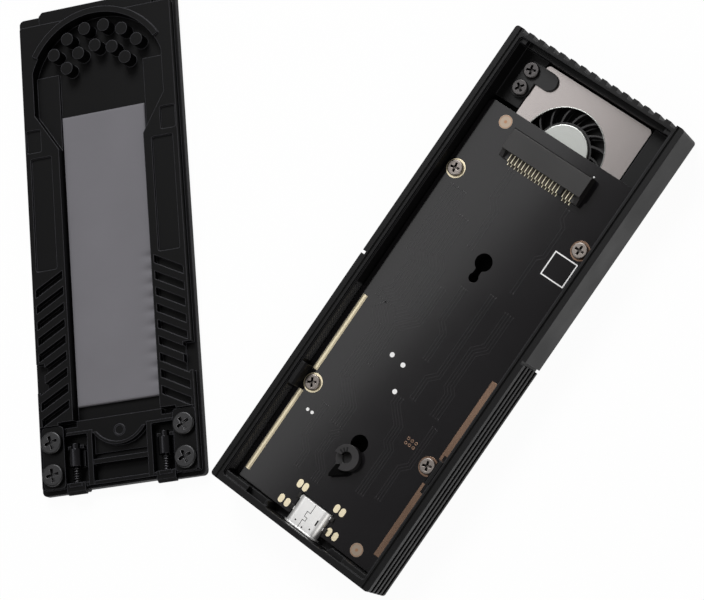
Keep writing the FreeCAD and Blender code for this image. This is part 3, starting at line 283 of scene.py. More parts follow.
def honeycomb_sheet(bm, low, high, pitch, hole):
    """A sheet across x, with six-sided cells in y and z and a hole in each. Rim cells end at its border."""
    step = pitch * math.sqrt(3) / 2
    outer = pitch / math.sqrt(3)
    rows = int((high[2] - low[2]) / step) + 2
    columns = int((high[1] - low[1]) / pitch) + 2
    for row in range(rows):
        for column in range(columns):
            y = low[1] + (column + 0.5 * (row % 2)) * pitch
            z = low[2] + row * step
            inside = low[1] + hole < y < high[1] - hole and low[2] + hole < z < high[2] - hole
            front, front_hole, back, back_hole = [
                cell_loop(x, y, z, radius, low, high)
                for x in (low[0], high[0]) for radius in (outer, hole if inside else 0.0)]
            for k in range(6):
                j = (k + 1) % 6
                quads = [(front[k], front[j], front_hole[j], front_hole[k]),
                         (back[j], back[k], back_hole[k], back_hole[j])]
                if inside:
                    quads.append((front_hole[k], front_hole[j], back_hole[j], back_hole[k]))
                for quad in quads:
                    corners = list(dict.fromkeys(quad))
                    if len(corners) > 2:
                        bm.faces.new([bm.verts.new(p) for p in corners])


screen_steel = surface("screen_steel", linear(84, 84, 86), 0.5, metallic=0.6, specular=0.4, size=0.1,
                       depth=0.002, radius=0.05, edge=1.6)
for side in ("left", "right"):
    for stretch in ("mid", "end"):
        node_name = "dust_screen_%s_%s" % (side, stretch)
        bm = bmesh.new()
        honeycomb_sheet(bm, *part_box(node_name), HOLE_PITCH, HOLE_RADIUS)
        sheet = object_from(bm, "screen_%s_%s" % (side, stretch), screen_steel, "enclosure")
        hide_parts(node_name)


# Circuit board
# A glass fibre board under black solder mask. Its copper runs show as faint raised lines in
# the mask, and four screws hold it on the housing's posts.

WEAVE_SCALE = 176.93                # of the wave texture that draws the cloth's threads
TRACK_HEIGHT = 0.012
TRACK_END_HEIGHT = 0.014
MITRE_LIMIT = 0.4                   # keeps the mitre of a sharp corner short
# each bundle: number of lines, their pitch and width, and the run of the first one
TRACK_BUNDLES = [
    (7, 0.75, 0.28, [(-17.2, 24.0), (-17.2, 6.0), (-15.2, 4.0), (-15.2, -3.0), (-17.0, -4.8), (-17.0, -7.0)]),
    (5, 0.8, 0.28, [(-11.6, 19.0), (-11.6, 7.5), (-9.4, 5.3), (-9.4, -5.0), (-11.4, -7.0)]),
    (6, 0.7, 0.28, [(-16.2, -9.5), (-13.4, -12.3), (-13.4, -27.0), (-11.0, -29.4), (-8.4, -32.0),
                    (-8.4, -36.5)]),
    (4, 0.7, 0.28, [(-7.4, -21.0), (-7.4, -11.0), (-3.2, -6.8), (-3.2, 3.0)]),
    (3, 0.75, 0.28, [(-0.6, 5.8), (-0.6, -3.5), (1.6, -5.7), (1.6, -12.5)]),
    (4, 0.75, 0.28, [(11.8, 6.5), (11.8, -2.2), (9.6, -4.4), (9.6, -15.0), (10.8, -16.2), (10.8, -22.0)]),
    (3, 0.75, 0.28, [(6.4, 8.0), (6.4, -13.5), (4.4, -15.5), (4.4, -21.5)]),
    (4, 0.7, 0.28, [(1.2, -22.8), (1.2, -25.0), (5.0, -28.8), (5.0, -33.0), (6.4, -34.4), (6.4, -46.0)]),
    (3, 0.7, 0.28, [(12.9, -24.0), (12.9, -34.0), (11.2, -35.7), (11.2, -44.5)]),
    (4, 0.65, 0.25, [(-5.6, -37.0), (-7.2, -38.6), (-7.2, -44.5), (-4.4, -47.3), (-4.4, -49.8)]),
    (3, 0.7, 0.28, [(-12.4, -34.0), (-12.4, -43.0), (-9.8, -45.6), (-9.8, -49.5)]),
    (2, 0.8, 0.28, [(9.8, 33.5), (9.8, 31.0), (11.4, 29.4), (11.4, 22.0), (10.0, 20.6), (10.0, 11.0)]),
    (3, 0.8, 0.28, [(-7.2, 33.8), (-7.2, 26.0), (-5.0, 23.8), (-5.0, 14.0)]),
]


def mask_material(name, colour):
    """Glossy solder mask over the faint cross weave of the board's glass cloth."""
    made, tree = empty_material(name)
    grain = place_group(tree, MOULDED_GRAIN, Size=0.12 * MM)
    edges = place_group(tree, ROLLED_EDGES, Radius=0.05 * MM)
    place = node(tree, "TexCoord")
    threads = []
    for axis in ("X", "Y"):
        wave = node(tree, "TexWave", {"Vector": place.outputs["Object"], "Scale": WEAVE_SCALE,
                                      "Distortion": 0.6}, bands_direction=axis)
        threads.append(wave.outputs["Fac"])
    cloth = node(tree, "Math", {0: threads[0], 1: threads[1]}, operation="MULTIPLY")
    height = node(tree, "Math", {0: cloth.outputs[0], 1: grain.outputs["Height"]}, operation="ADD")
    relief = node(tree, "Bump", {"Strength": 1.0, "Distance": 0.0003 * MM, "Height": height.outputs[0],
                                 "Normal": edges.outputs["Normal"]})
    cloud = two_tones(tree, grain.outputs["Tone"], colour, 0.12)
    rough = node(tree, "MapRange", {"Value": grain.outputs["Tone"], "To Min": 0.09, "To Max": 0.14})
    shader = node(tree, "BsdfPrincipled", {"Base Color": cloud, "Roughness": rough.outputs[0],
                                           "Specular IOR Level": 0.45, "Normal": relief.outputs[0]})
    node(tree, "OutputMaterial", {"Surface": shader.outputs[0]})
    return made


def slab(bm, outline, low, high):
    """An upright solid over a flat outline given in millimetres. Low and high are in metres."""
    bottom = [bm.verts.new((x * MM, y * MM, low)) for x, y in outline]
    top = [bm.verts.new((x * MM, y * MM, high)) for x, y in outline]
    bm.faces.new(bottom[::-1])
    bm.faces.new(top)
    for k in range(len(outline)):
        j = (k + 1) % len(outline)
        bm.faces.new((bottom[k], bottom[j], top[j], top[k]))


def polyline_sides(points, offset):
    """The points of a polyline moved sideways by offset, with mitred corners."""
    moved = []
    for k, (x, y) in enumerate(points):
        ways = []
        if k > 0:
            ways.append(Vector((x - points[k - 1][0], y - points[k - 1][1])).normalized())
        if k < len(points) - 1:
            ways.append(Vector((points[k + 1][0] - x, points[k + 1][1] - y)).normalized())
        way = sum(ways, Vector((0.0, 0.0))).normalized()
        stretch = 1.0 / max(MITRE_LIMIT, way.dot(ways[0]))
        moved.append((x - way.y * offset * stretch, y + way.x * offset * stretch))
    return moved


def line(bm, points, width, low, high):
    """A raised line of even width along a run of points."""
    right = polyline_sides(points, -width / 2)
    left = polyline_sides(points, width / 2)
    for k in range(len(points) - 1):
        slab(bm, [right[k], right[k + 1], left[k + 1], left[k]], low, high)


def circle(x, y, radius, steps=24):
    """The corners of a round outline."""
    return [(x + radius * math.cos(2 * math.pi * k / steps), y + radius * math.sin(2 * math.pi * k / steps))
            for k in range(steps)]


board_mask = mask_material("board_mask", linear(20, 19, 21))
copper_under_mask = mask_material("copper_under_mask", linear(31, 30, 32))
dress(board_mask, "main_board", "fan_driver_board")
board_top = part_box("main_board")[1][2]
bm = bmesh.new()
for count, pitch, width, run in TRACK_BUNDLES:
    for k in range(count):
        track = polyline_sides(run, k * pitch)
        line(bm, track, width, board_top, board_top + TRACK_HEIGHT * MM)
        for x, y in (track[0], track[-1]):
            slab(bm, circle(x, y, width, steps=12), board_top, board_top + TRACK_END_HEIGHT * MM)
object_from(bm, "board_tracks", copper_under_mask, "enclosure")


# Pads and white print of the board
# Copper left free of the mask, some of it gold plated: long contact strips, rings round the
# screws, sighting discs, test ovals and small plated holes. The print is white ink.

PAD_TOP = board_top + 0.03 * MM
INK_TOP = board_top + 0.025 * MM
RING_TOP = board_top + 0.04 * MM
LEFT_SCREWS = [(-18.2, 27.4), (-17.4, -31.8)]
RIGHT_SCREWS = [(18.2, 27.4), (17.4, -31.8)]
SCREW_RING = (1.25, 2.35)
OVAL_SIZE = (1.35, 2.1)
OVAL_PLACES = [(-5.9, -52.2), (-4.25, -52.2), (5.0, -51.8), (6.7, -51.8),
               (-7.7, -57.5), (-5.9, -57.5), (6.6, -57.2), (8.5, -57.2)]
VIA_RING = (0.2, 0.4)
VIA_PLACES = [(x, y) for x in (9.75, 10.8, 11.95) for y in (-29.25, -30.4)]
LEFT_STRIP_SIDES = (-19.6, -18.3)
LEFT_STRIP_ENDS = [(-29.0, -8.3), (-56.8, -34.6)]
STRIP_LIFT, STRIP_CROWN = 0.01, 0.09
RIGHT_STRIP_START = 18.5
# each right strip: its outer side and its two ends
RIGHT_STRIPS = [(20.0, -27.6, -7.7), (19.2, -29.0, -27.6), (20.0, -55.0, -37.6), (19.2, -37.6, -35.4)]
# each sighting disc and each printed dot: its place and radius
SIGHTING_DISCS = [(-14.5, 42.5, 1.65), (14.6, -56.6, 1.6)]
SIGHTING_RING = (0.84, 0.92)        # as shares of the disc's radius
SIGHTING_CENTRE = 0.38
PRINT_DOTS = [(-5.1, -16.0, 0.6), (-1.5, -16.5, 0.6), (0.5, -22.5, 0.6), (10.9, 42.9, 0.22),
              (-14.75, -37.5, 0.42), (-13.4, -37.5, 0.42)]
PRINT_LEFT, PRINT_RIGHT = 13.3, 19.7
PRINT_LOW, PRINT_HIGH = 18.2, 24.5
PRINT_WIDTH = 0.3


def ring(bm, x, y, inner, outer, low, high, steps=40):
    """A flat washer shape."""
    loops = []
    for radius, z in ((inner, low), (outer, low), (outer, high), (inner, high)):
        loops.append([bm.verts.new((px * MM, py * MM, z)) for px, py in circle(x, y, radius, steps)])
    for a, b in zip(loops, loops[1:] + loops[:1]):
        for k in range(steps):
            j = (k + 1) % steps
            bm.faces.new((a[k], a[j], b[j], b[k]))


def oval(x, y, width, length, steps=10):
    """A stadium shape with its long side along y."""
    radius = width / 2
    reach = length / 2 - radius
    outline = []
    for base, centre in ((0.0, y + reach), (math.pi, y - reach)):
        for k in range(steps + 1):
            a = base + math.pi * k / steps
            outline.append((x + radius * math.cos(a), centre + radius * math.sin(a)))
    return outline


def domed_strip(bm, x0, x1, y0, y1):
    """A long strip of solder plated copper with a flat crown and sloping sides."""
    section = [(0.0, 0.0), (0.1, 0.45), (0.22, 0.85), (0.32, 1.0),
               (0.68, 1.0), (0.78, 0.85), (0.9, 0.45), (1.0, 0.0)]
    ends = [[bm.verts.new(((x0 + (x1 - x0) * a) * MM, y * MM,
                           board_top + (STRIP_LIFT + h * STRIP_CROWN) * MM))
             for a, h in section] for y in (y0, y1)]
    for k in range(len(section) - 1):
        bm.faces.new((ends[0][k], ends[0][k + 1], ends[1][k + 1], ends[1][k]))
    bm.faces.new(ends[0][::-1])
    bm.faces.new(ends[1])
    bm.faces.new((ends[0][-1], ends[0][0], ends[1][0], ends[1][-1]))


contact_gold = surface("contact_gold", linear(252, 238, 204), 0.2, metallic=0.4, size=0.1, depth=0.0002,
                       tone=0.05, spread=0.03, radius=0.03, edge=1.0)
bm = bmesh.new()
for x, y in LEFT_SCREWS:
    ring(bm, x, y, *SCREW_RING, board_top, PAD_TOP)
for x, y in OVAL_PLACES:
    slab(bm, oval(x, y, *OVAL_SIZE), board_top, PAD_TOP)
for y0, y1 in LEFT_STRIP_ENDS:
    domed_strip(bm, *LEFT_STRIP_SIDES, y0, y1)
object_from(bm, "board_gold_pads", contact_gold, "enclosure")

matte_copper = surface("matte_copper", linear(156, 141, 126), 0.5, metallic=0.85, size=0.12, depth=0.0006,
                       tone=0.08, spread=0.04, radius=0.03, edge=1.0)
bm = bmesh.new()
for x, y, radius in SIGHTING_DISCS:
    slab(bm, circle(x, y, radius, steps=40), board_top, PAD_TOP)
object_from(bm, "board_sighting_discs", matte_copper, "enclosure")

bare_copper = surface("bare_copper", linear(150, 123, 105), 0.22, metallic=1.0, size=0.12, depth=0.0003,
                      tone=0.1, spread=0.03, radius=0.03, edge=1.0)
bm = bmesh.new()
for x, y in VIA_PLACES:
    ring(bm, x, y, *VIA_RING, board_top, PAD_TOP, steps=20)
for x, y in RIGHT_SCREWS:
    ring(bm, x, y, *SCREW_RING, board_top, PAD_TOP)
for x1, y0, y1 in RIGHT_STRIPS:
    outline = [(RIGHT_STRIP_START, y0), (x1, y0), (x1, y1), (RIGHT_STRIP_START, y1)]
    slab(bm, outline, board_top, PAD_TOP)
object_from(bm, "board_copper_strips", bare_copper, "enclosure")

mask_ring = surface("mask_ring", linear(150, 112, 84), 0.5, metallic=0.6, size=0.1, depth=0.0006,
                    radius=0.02, edge=1.0)
bm = bmesh.new()
for x, y, radius in SIGHTING_DISCS:
    ring(bm, x, y, *[radius * share for share in SIGHTING_RING], board_top, RING_TOP)
    slab(bm, circle(x, y, SIGHTING_CENTRE, steps=20), board_top, RING_TOP)
object_from(bm, "board_sighting_rings", mask_ring, "enclosure")

white_ink = surface("white_ink", linear(236, 236, 236), 0.6, size=0.08, depth=0.002, tone=0.05,
                    radius=0.02, edge=1.0)
bm = bmesh.new()
for y in (PRINT_LOW + PRINT_WIDTH / 2, PRINT_HIGH - PRINT_WIDTH / 2):
    line(bm, [(PRINT_LEFT, y), (PRINT_RIGHT, y)], PRINT_WIDTH, board_top, INK_TOP)
for x in (PRINT_LEFT + PRINT_WIDTH / 2, PRINT_RIGHT - PRINT_WIDTH / 2):
    line(bm, [(x, PRINT_LOW + PRINT_WIDTH), (x, PRINT_HIGH - PRINT_WIDTH)], PRINT_WIDTH, board_top, INK_TOP)
for x, y, radius in PRINT_DOTS:
    slab(bm, circle(x, y, radius), board_top, INK_TOP)
object_from(bm, "board_white_print", white_ink, "enclosure")


# Screws of the board and of the blower's clamp
# Pan head steel screws with a cross recess, turned and plated grey. They hold the board on
# the housing's posts and the clamp beside the blower. The blower's shaft has the same finish.

# Their cross recesses are darkened as painted shade, and their edges carry a painted highlight.
screw_steel = surface("screw_steel", linear(136, 129, 124), 0.36, metallic=1.0, size=0.12, depth=0.0012,
                      tone=0.1, spread=0.06, radius=0.12, edge=1.4, crevice=1.1)
dark_screw = surface("dark_screw", linear(74, 72, 72), 0.42, metallic=1.0, size=0.12, depth=0.0012,
                     tone=0.1, spread=0.06, radius=0.12, edge=1.8, crevice=1.1)
dress(screw_steel, "board_screws", "fan_shaft")
dress(dark_screw, "fan_clamp_screws")


# Drive socket
# A block moulded in dark grey plastic, soldered to the board. A comb of gold plated contacts
# lies on its lower jaw and ends in feet on the board. Every second one is painted darker, as
# painted shade, so that single contacts stay apart.

BLADE_SHARE = 0.8                   # width of a blade as a share of the CAD contact's
BLADE_PITCH = 0.5 * MM


def loose_parts(bm):
    """The separate parts of a mesh, each as a list of its corners."""
    left = set(bm.verts)
    parts = []
    while left:
        front = [left.pop()]
        part = []
        while front:
            vert = front.pop()
            part.append(vert)
            for edge in vert.link_edges:
                other = edge.other_vert(vert)
                if other in left:
                    left.remove(other)
                    front.append(other)
        parts.append(part)
    return parts


# Its recesses are darkened as painted shade, and its edges carry a painted highlight.
socket_plastic = surface("socket_plastic", linear(32, 31, 31), 0.4, specular=0.4, size=0.16,
                         depth=0.002, radius=0.18, edge=1.8, crevice=0.5)
socket_contacts = surface("socket_contacts", linear(250, 242, 214), 0.35, metallic=0.4, size=0.08,
                          depth=0.0004, tone=0.03, spread=0.04, radius=0.01, edge=1.0)
# A darker copy of the contacts' gold for every second blade: painted shade.
shaded_contacts = surface("shaded_contacts", linear(84, 74, 56), 0.5, metallic=0.6, size=0.08,
                          depth=0.0004, tone=0.03, radius=0.01, edge=1.0)
dress(socket_plastic, "ssd_socket_body", "usb_c_tongue")
bm = bmesh.new()
bm.from_mesh(frame["nodes"]["ssd_socket_contacts"].data)
for blade in loose_parts(bm):
    middle = (min(v.co.x for v in blade) + max(v.co.x for v in blade)) / 2
    for vert in blade:
        vert.co.x = middle + (vert.co.x - middle) * BLADE_SHARE
blades = object_from(bm, "socket_contact_blades", socket_contacts, "enclosure")
blades.data.materials.append(shaded_contacts)
first_x = min(v.co.x for v in blades.data.vertices)
for face in blades.data.polygons:
    face.material_index = round((face.center.x - first_x) / BLADE_PITCH) % 2
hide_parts("ssd_socket_contacts")


# USB-C socket
# A shell drawn from bright steel sheet, with a dovetailed seam along its top, a spring window
# and three dimples. Its four ears are soldered into the board.

SHELL_MIDDLE = sum(corner[0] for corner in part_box("usb_c_shell")) / 2 / MM
SHELL_TOP = board_top + 1.3 * MM
SEAM_RUN = [(0.9, -53.78), (0.9, -56.2), (0.0, -56.2), (0.0, -57.5), (0.85, -57.5), (0.85, -58.35),
            (0.05, -58.35), (0.05, -60.4)]
SEAM_WIDTH = 0.13
SEAM_PROUD, SEAM_DEPTH, WINDOW_DEPTH = 0.01 * MM, 0.02 * MM, 0.05 * MM
SPRING_WINDOW = (3.45, -57.1, 0.4, 1.5)
DIMPLE_RADIUS = 0.2
DIMPLE_PLACES = [(-1.35, -59.3), (0.95, -59.9), (2.85, -59.2)]
EAR_SIDES = (4.5, 5.45)             # from the shell's middle
EAR_ENDS = (-0.2, 1.0)              # from an ear's place
EAR_PLACES = (-57.9, -54.9)
SOLDER_RISE, SOLDER_ROUNDING = 0.42 * MM, 0.12 * MM


def round_top(bm, above, rounding):
    """Rounds the edges that lie wholly above a height."""
    upper_edges = [e for e in bm.edges if all(v.co.z > above for v in e.verts)]
    bmesh.ops.bevel(bm, geom=upper_edges, offset=rounding, segments=2, affect="EDGES")


usb_steel = surface("usb_steel", linear(242, 242, 241), 0.4, metallic=0.75, size=0.4, depth=0.0003,
                    tone=0.04, spread=0.04, radius=0.12, edge=1.1)
# Near-black for gaps, slots and notches: painted shade.
painted_shade_gap = surface("painted_shade_gap", linear(14, 14, 15), 0.7, specular=0.2, size=0.1, depth=0.002,
                   radius=0.02, edge=1.0)
solder = surface("solder", linear(52, 51, 50), 0.5, metallic=1.0, size=0.15, depth=0.002, tone=0.15,
                 radius=0.1, edge=1.1)
dress(usb_steel, "usb_c_shell")

# The seam, the spring window and the dimples are near-black slabs sunk a little into the shell's top: painted
# shade for their gaps and hollows.
bm = bmesh.new()
line(bm, SEAM_RUN, SEAM_WIDTH, SHELL_TOP - SEAM_DEPTH, SHELL_TOP + SEAM_PROUD)
slab(bm, oval(*SPRING_WINDOW), SHELL_TOP - WINDOW_DEPTH, SHELL_TOP + SEAM_PROUD)
for x, y in DIMPLE_PLACES:
    slab(bm, circle(x, y, DIMPLE_RADIUS, steps=16), SHELL_TOP - SEAM_DEPTH, SHELL_TOP + SEAM_PROUD)
object_from(bm, "usb_shell_seam", painted_shade_gap, "enclosure")

bm = bmesh.new()
for side in (-1, 1):
    x0, x1 = sorted(SHELL_MIDDLE + side * reach for reach in EAR_SIDES)
    for place in EAR_PLACES:
        y0, y1 = (place + end for end in EAR_ENDS)
        slab(bm, [(x0, y0), (x1, y0), (x1, y1), (x0, y1)], board_top, board_top + SOLDER_RISE)
round_top(bm, board_top + SOLDER_RISE / 2, SOLDER_ROUNDING)
object_from(bm, "usb_ear_solder", solder, "enclosure")


# Retainer
# A turning hook moulded in dark plastic, with a near-black cover laid on its lever and three
# small notches in its crown, drawn as near-black slabs of painted shade. Its stem sits in the small
# end of the lower keyhole, and its C-shaped wall holds the round notch at the drive's end.

LEVER_OUTLINE = [(-0.2, -43.1), (2.9, -43.55), (2.3, -44.6), (-0.1, -46.4), (-0.75, -46.85),
                 (-1.1, -46.3), (-0.9, -43.6)]
LEVER_TOP = board_top + 1.28 * MM
COVER_DEPTH, COVER_ROUNDING = 0.3 * MM, 0.12 * MM
NOTCH_TURNS = (118, 140, 162)
# outline of a notch: distance from the hook's middle, and across
NOTCH_OUTLINE = [(1.3, -0.17), (2.4, -0.22), (2.4, 0.22), (1.3, 0.17)]
NOTCH_DEPTH, NOTCH_PROUD = 0.1 * MM, 0.008 * MM

# Its recesses are darkened far into the hook as painted shade.
retainer_plastic = surface("retainer_plastic", linear(37, 36, 37), 0.4, specular=0.35, size=0.16,
                           depth=0.002, radius=0.15, edge=1.8, crevice=3.0)
lever_black = surface("lever_black", linear(3, 3, 3), 0.7, specular=0.05, size=0.12, depth=0.003,
                       radius=0.1, edge=2.0)
dress(retainer_plastic, "ssd_retainer")
bm = bmesh.new()
# A rounded near-black slab covers the lever.
slab(bm, LEVER_OUTLINE, LEVER_TOP - COVER_DEPTH, LEVER_TOP + COVER_ROUNDING)
round_top(bm, LEVER_TOP, COVER_ROUNDING)
object_from(bm, "lever_cover", lever_black, "retainer")

joints = {joint["name"]: joint for joint in frame["joints"]}
hook_middle = Vector(joints["ssd_retainer_turn"]["pos_m"][:2]) / MM
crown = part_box("ssd_retainer")[1][2]
# The notches are near-black slabs laid in the crown: painted shade for their hollows.
bm = bmesh.new()
for turn in NOTCH_TURNS:
    a = math.radians(turn)
    along, across = Vector((math.cos(a), math.sin(a))), Vector((-math.sin(a), math.cos(a)))
    corners = [hook_middle + along * away + across * aside for away, aside in NOTCH_OUTLINE]
    slab(bm, corners, crown - NOTCH_DEPTH, crown + NOTCH_PROUD)
object_from(bm, "hook_notches", painted_shade_gap, "retainer")


# Blower
# A flat blower in a black moulded tray under a cover of satin steel sheet. Its hub is a drawn
# steel cup inside a moulded ring of seventeen swept vanes, and it runs on a shaft in a bronze bush.

HUB_CENTRE = (*joints["fan_spin"]["pos_m"][:2], 0.0)
# section of the rounded lip round the inlet, as radius and height
INLET_LIP = [(10.16, 5.58), (10.17, 5.63), (10.22, 5.67), (10.32, 5.68), (10.4, 5.65), (10.44, 5.59)]


def turned_group():
    """Fine rings left by a turning tool, as a height that depends on the distance from a centre."""
    group, start, end = new_group("turned_rings", [("Centre", (0.0, 0.0, 0.0)), ("Pitch", 0.2 * MM)],
                                  [("Height", "Float")])
    place = node(group, "TexCoord")
    away = node(group, "VectorMath", {0: place.outputs["Object"], 1: start.outputs["Centre"]},
                operation="SUBTRACT")
    flat = node(group, "VectorMath", {0: away.outputs[0], 1: (1.0, 1.0, 0.0)}, operation="MULTIPLY")
    length = node(group, "VectorMath", {0: flat.outputs[0]}, operation="LENGTH")
    count = node(group, "Math", {0: length.outputs["Value"], 1: start.outputs["Pitch"]}, operation="DIVIDE")
    rings = node(group, "TexNoise", {"W": count.outputs[0], "Scale": 1.0, "Detail": 2.0},
                 noise_dimensions="1D")
    group.links.new(rings.outputs["Fac"], end.inputs["Height"])
    return group


def brushed_group():
    """Fine straight scratches of brushed sheet. They run along X once turned."""
    group, start, end = new_group("brushed_lines", [("Turn", 0.0), ("Length", 4 * MM), ("Width", 0.1 * MM)],
                                  [("Height", "Float")])
    place = node(group, "TexCoord")
    turned = node(group, "VectorRotate", {"Vector": place.outputs["Object"], "Angle": start.outputs["Turn"]},
                  rotation_type="Z_AXIS")
    parts = node(group, "SeparateXYZ", {0: turned.outputs[0]})
    along = node(group, "Math", {0: parts.outputs["X"], 1: start.outputs["Length"]}, operation="DIVIDE")
    across = node(group, "Math", {0: parts.outputs["Y"], 1: start.outputs["Width"]}, operation="DIVIDE")
    joined = node(group, "CombineXYZ", {"X": along.outputs[0], "Y": across.outputs[0],
                                        "Z": parts.outputs["Z"]})
    lines = node(group, "TexNoise", {"Vector": joined.outputs[0], "Scale": 1.0, "Detail": 3.0})
    group.links.new(lines.outputs["Fac"], end.inputs["Height"])
    return group


TURNED_RINGS = turned_group()
BRUSHED_LINES = brushed_group()


def worked_metal(name, colour, roughness, marks, depth, radius=0.1, tone=0.06):
    """Bare metal with the marks of how it was made, over the common grain and rolled edges."""
    made, tree = empty_material(name)
    group, values = marks
    worked = place_group(tree, group, **values)
    grain = place_group(tree, MOULDED_GRAIN, Size=0.15 * MM)
    edges = place_group(tree, ROLLED_EDGES, Radius=radius * MM)
    cloud = two_tones(tree, worked.outputs["Height"], colour, tone, (0.25, 0.75))
    rough = node(tree, "MapRange", {"Value": grain.outputs["Tone"], "To Min": roughness - 0.03,
                                    "To Max": roughness + 0.03})
    relief = node(tree, "Bump", {"Strength": 1.0, "Distance": depth * MM, "Height": worked.outputs["Height"],
                                 "Normal": edges.outputs["Normal"]})
    shader = node(tree, "BsdfPrincipled", {"Base Color": cloud, "Roughness": rough.outputs[0],
                                           "Metallic": 1.0, "Normal": relief.outputs[0]})
    node(tree, "OutputMaterial", {"Surface": shader.outputs[0]})
    return made


def lathe(bm, centre, profile, steps=96):
    """A closed ring with the given section, as points of radius and height in millimetres."""
    rings = []
    for k in range(steps):
        x, y = MM * math.cos(2 * math.pi * k / steps), MM * math.sin(2 * math.pi * k / steps)
        rings.append([bm.verts.new((centre[0] + r * x, centre[1] + r * y, z * MM)) for r, z in profile])
    for k in range(steps):
        p, q = rings[k], rings[(k + 1) % steps]
        for j in range(len(profile)):
            i = (j + 1) % len(profile)
            bm.faces.new((p[j], p[i], q[i], q[j]))


fan_plate_metal = worked_metal("fan_plate", linear(166, 160, 158), 0.2,
                               (BRUSHED_LINES, {"Turn": 0.0, "Length": 3 * MM, "Width": 0.09 * MM}), 0.001)
hub_metal = worked_metal("hub_steel", linear(162, 164, 161), 0.32,
                         (TURNED_RINGS, {"Centre": HUB_CENTRE, "Pitch": 0.12 * MM}), 0.0012, radius=0.05)
fan_plastic = surface("fan_plastic", linear(16, 16, 17), 0.4, specular=0.3, size=0.14, depth=0.003,
                      radius=0.08, edge=2.0)
blade_plastic = surface("blade_plastic", linear(21, 20, 21), 0.4, specular=0.35, size=0.14, depth=0.003,
                        radius=0.1, edge=1.6)
magnet_rubber = surface("magnet_rubber", linear(78, 72, 72), 0.7, size=0.1, depth=0.005, radius=0.05)
bearing_bronze = worked_metal("bearing_bronze", linear(196, 160, 110), 0.4,
                              (TURNED_RINGS, {"Centre": HUB_CENTRE, "Pitch": 0.1 * MM}), 0.001)
stator_steel = worked_metal("stator_steel", linear(150, 150, 155), 0.45,
                            (BRUSHED_LINES, {"Turn": 0.6, "Length": 2 * MM, "Width": 0.1 * MM}), 0.001)
coil_copper = surface("coil_copper", linear(190, 110, 66), 0.35, metallic=1.0, size=0.08, depth=0.01,
                      radius=0.1, edge=1.2)
clamp_paint = surface("clamp_paint", linear(20, 20, 21), 0.5, specular=0.3, size=0.15, depth=0.003,
                      radius=0.15, edge=3.5)
dress(fan_plate_metal, "fan_cover_plate")
dress(hub_metal, "fan_hub")
dress(fan_plastic, "fan_base")
dress(blade_plastic, "fan_blades")
dress(magnet_rubber, "fan_magnet")
dress(bearing_bronze, "fan_bearing")
dress(stator_steel, "fan_stator")
dress(coil_copper, "fan_coils")
dress(clamp_paint, "fan_clamp")

bm = bmesh.new()
lathe(bm, HUB_CENTRE, INLET_LIP)
object_from(bm, "inlet_lip", hub_metal, "enclosure", smooth=True)


# Heat pads
# Two soft grey pads cut from silicone sheet. One lies in the lid's channel against the drive,
# with dents where the fins press, and one takes the bridge chip's warmth to the housing's floor.

PAD_ROUNDING = 0.28
# rounded border of a pad: distance from its edge and share of its height
PAD_RIM = [(0.0, 0.0), (0.0, 0.55), (0.04, 0.78), (0.12, 0.92), (PAD_ROUNDING, 1.0)]
PAD_STEPS_ACROSS = 36
PAD_STEP_ALONG = 0.5
RIPPLE_DEPTH = 0.03
DENT_DEPTH, DENT_HALF_LENGTH, DENT_REACH = 0.6, 0.8, 2.4
LID_PAD_SIDES, LID_PAD_ENDS = (-11.1, 11.1), (-39.7, 33.2)
LID_PAD_DENTS = [-36.0 + 3.4 * k for k in range(10)]
# the latch slides straight along the lid, and the middle of the pad lies on the lid's long axis
slide_x, slide_y = joints["latch_slide"]["axis"][:2]
LID_TURN = math.atan2(-slide_x, slide_y)
pad_x, pad_y, pad_z = [(low / MM, high / MM) for low, high in zip(*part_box("lid_pad"))]
LID_PLACE = (sum(pad_x) / 2 + sum(LID_PAD_ENDS) / 2 * math.sin(LID_TURN),
             sum(pad_y) / 2 - sum(LID_PAD_ENDS) / 2 * math.cos(LID_TURN))


def from_lid(u, v, w):
    """A point of the lid, given about its own centre in millimetres, where it lies in the frame."""
    return Vector(((LID_PLACE[0] + u * math.cos(LID_TURN) - v * math.sin(LID_TURN)) * MM,
                   (LID_PLACE[1] + u * math.sin(LID_TURN) + v * math.cos(LID_TURN)) * MM, w * MM))


def from_housing(x, y, z):
    """A point of the housing, given in millimetres. Its own directions are those of the frame."""
    return Vector((x * MM, y * MM, z * MM))


def pad_lines(first, last, steps):
    """Where the lines of a pad's mesh run from edge to edge, each with its share of the height."""
    inner = last - first - 2 * PAD_ROUNDING
    lines = [(first + away, share) for away, share in PAD_RIM]
    lines += [(first + PAD_ROUNDING + inner * k / steps, 1.0) for k in range(1, steps)]
    return lines + [(last - away, share) for away, share in PAD_RIM[::-1]]


def silicone_pad(name, to_frame, sides, ends, levels, dents):
    """A soft pad with rounded edges, a slightly uneven top, and dents where something presses into
    its right edge. Sizes are in millimetres in the pad's own directions."""
    low, high = levels
    across = pad_lines(*sides, PAD_STEPS_ACROSS)
    along = pad_lines(*ends, max(8, int((ends[1] - ends[0]) / PAD_STEP_ALONG)))
    bm = bmesh.new()
    top = []
    for v, share_along in along:
        row = []
        for u, share_across in across:
            share = min(share_across, share_along)
            ripple = 0.5 + 0.25 * math.sin(0.55 * v + 0.4 * math.sin(0.5 * u)) + 0.25 * math.cos(0.7 * u)
            dent = sum(DENT_DEPTH * math.exp(-((v - d) / DENT_HALF_LENGTH) ** 2
                                             - ((sides[1] - u) / DENT_REACH) ** 2) for d in dents)
            rise = (high - low) * share - share * (RIPPLE_DEPTH * ripple + dent)
            row.append(bm.verts.new(to_frame(u, v, low + rise)))
        top.append(row)
    for p, q in zip(top, top[1:]):
        for j in range(len(across) - 1):
            bm.faces.new((p[j], p[j + 1], q[j + 1], q[j]))
    border = top[0] + [row[-1] for row in top[1:]] + top[-1][-2::-1] + [row[0] for row in top[-2:0:-1]]
    bm.faces.new(border[::-1])
    made = object_from(bm, name, heat_pad, "enclosure", smooth=True)
    return made


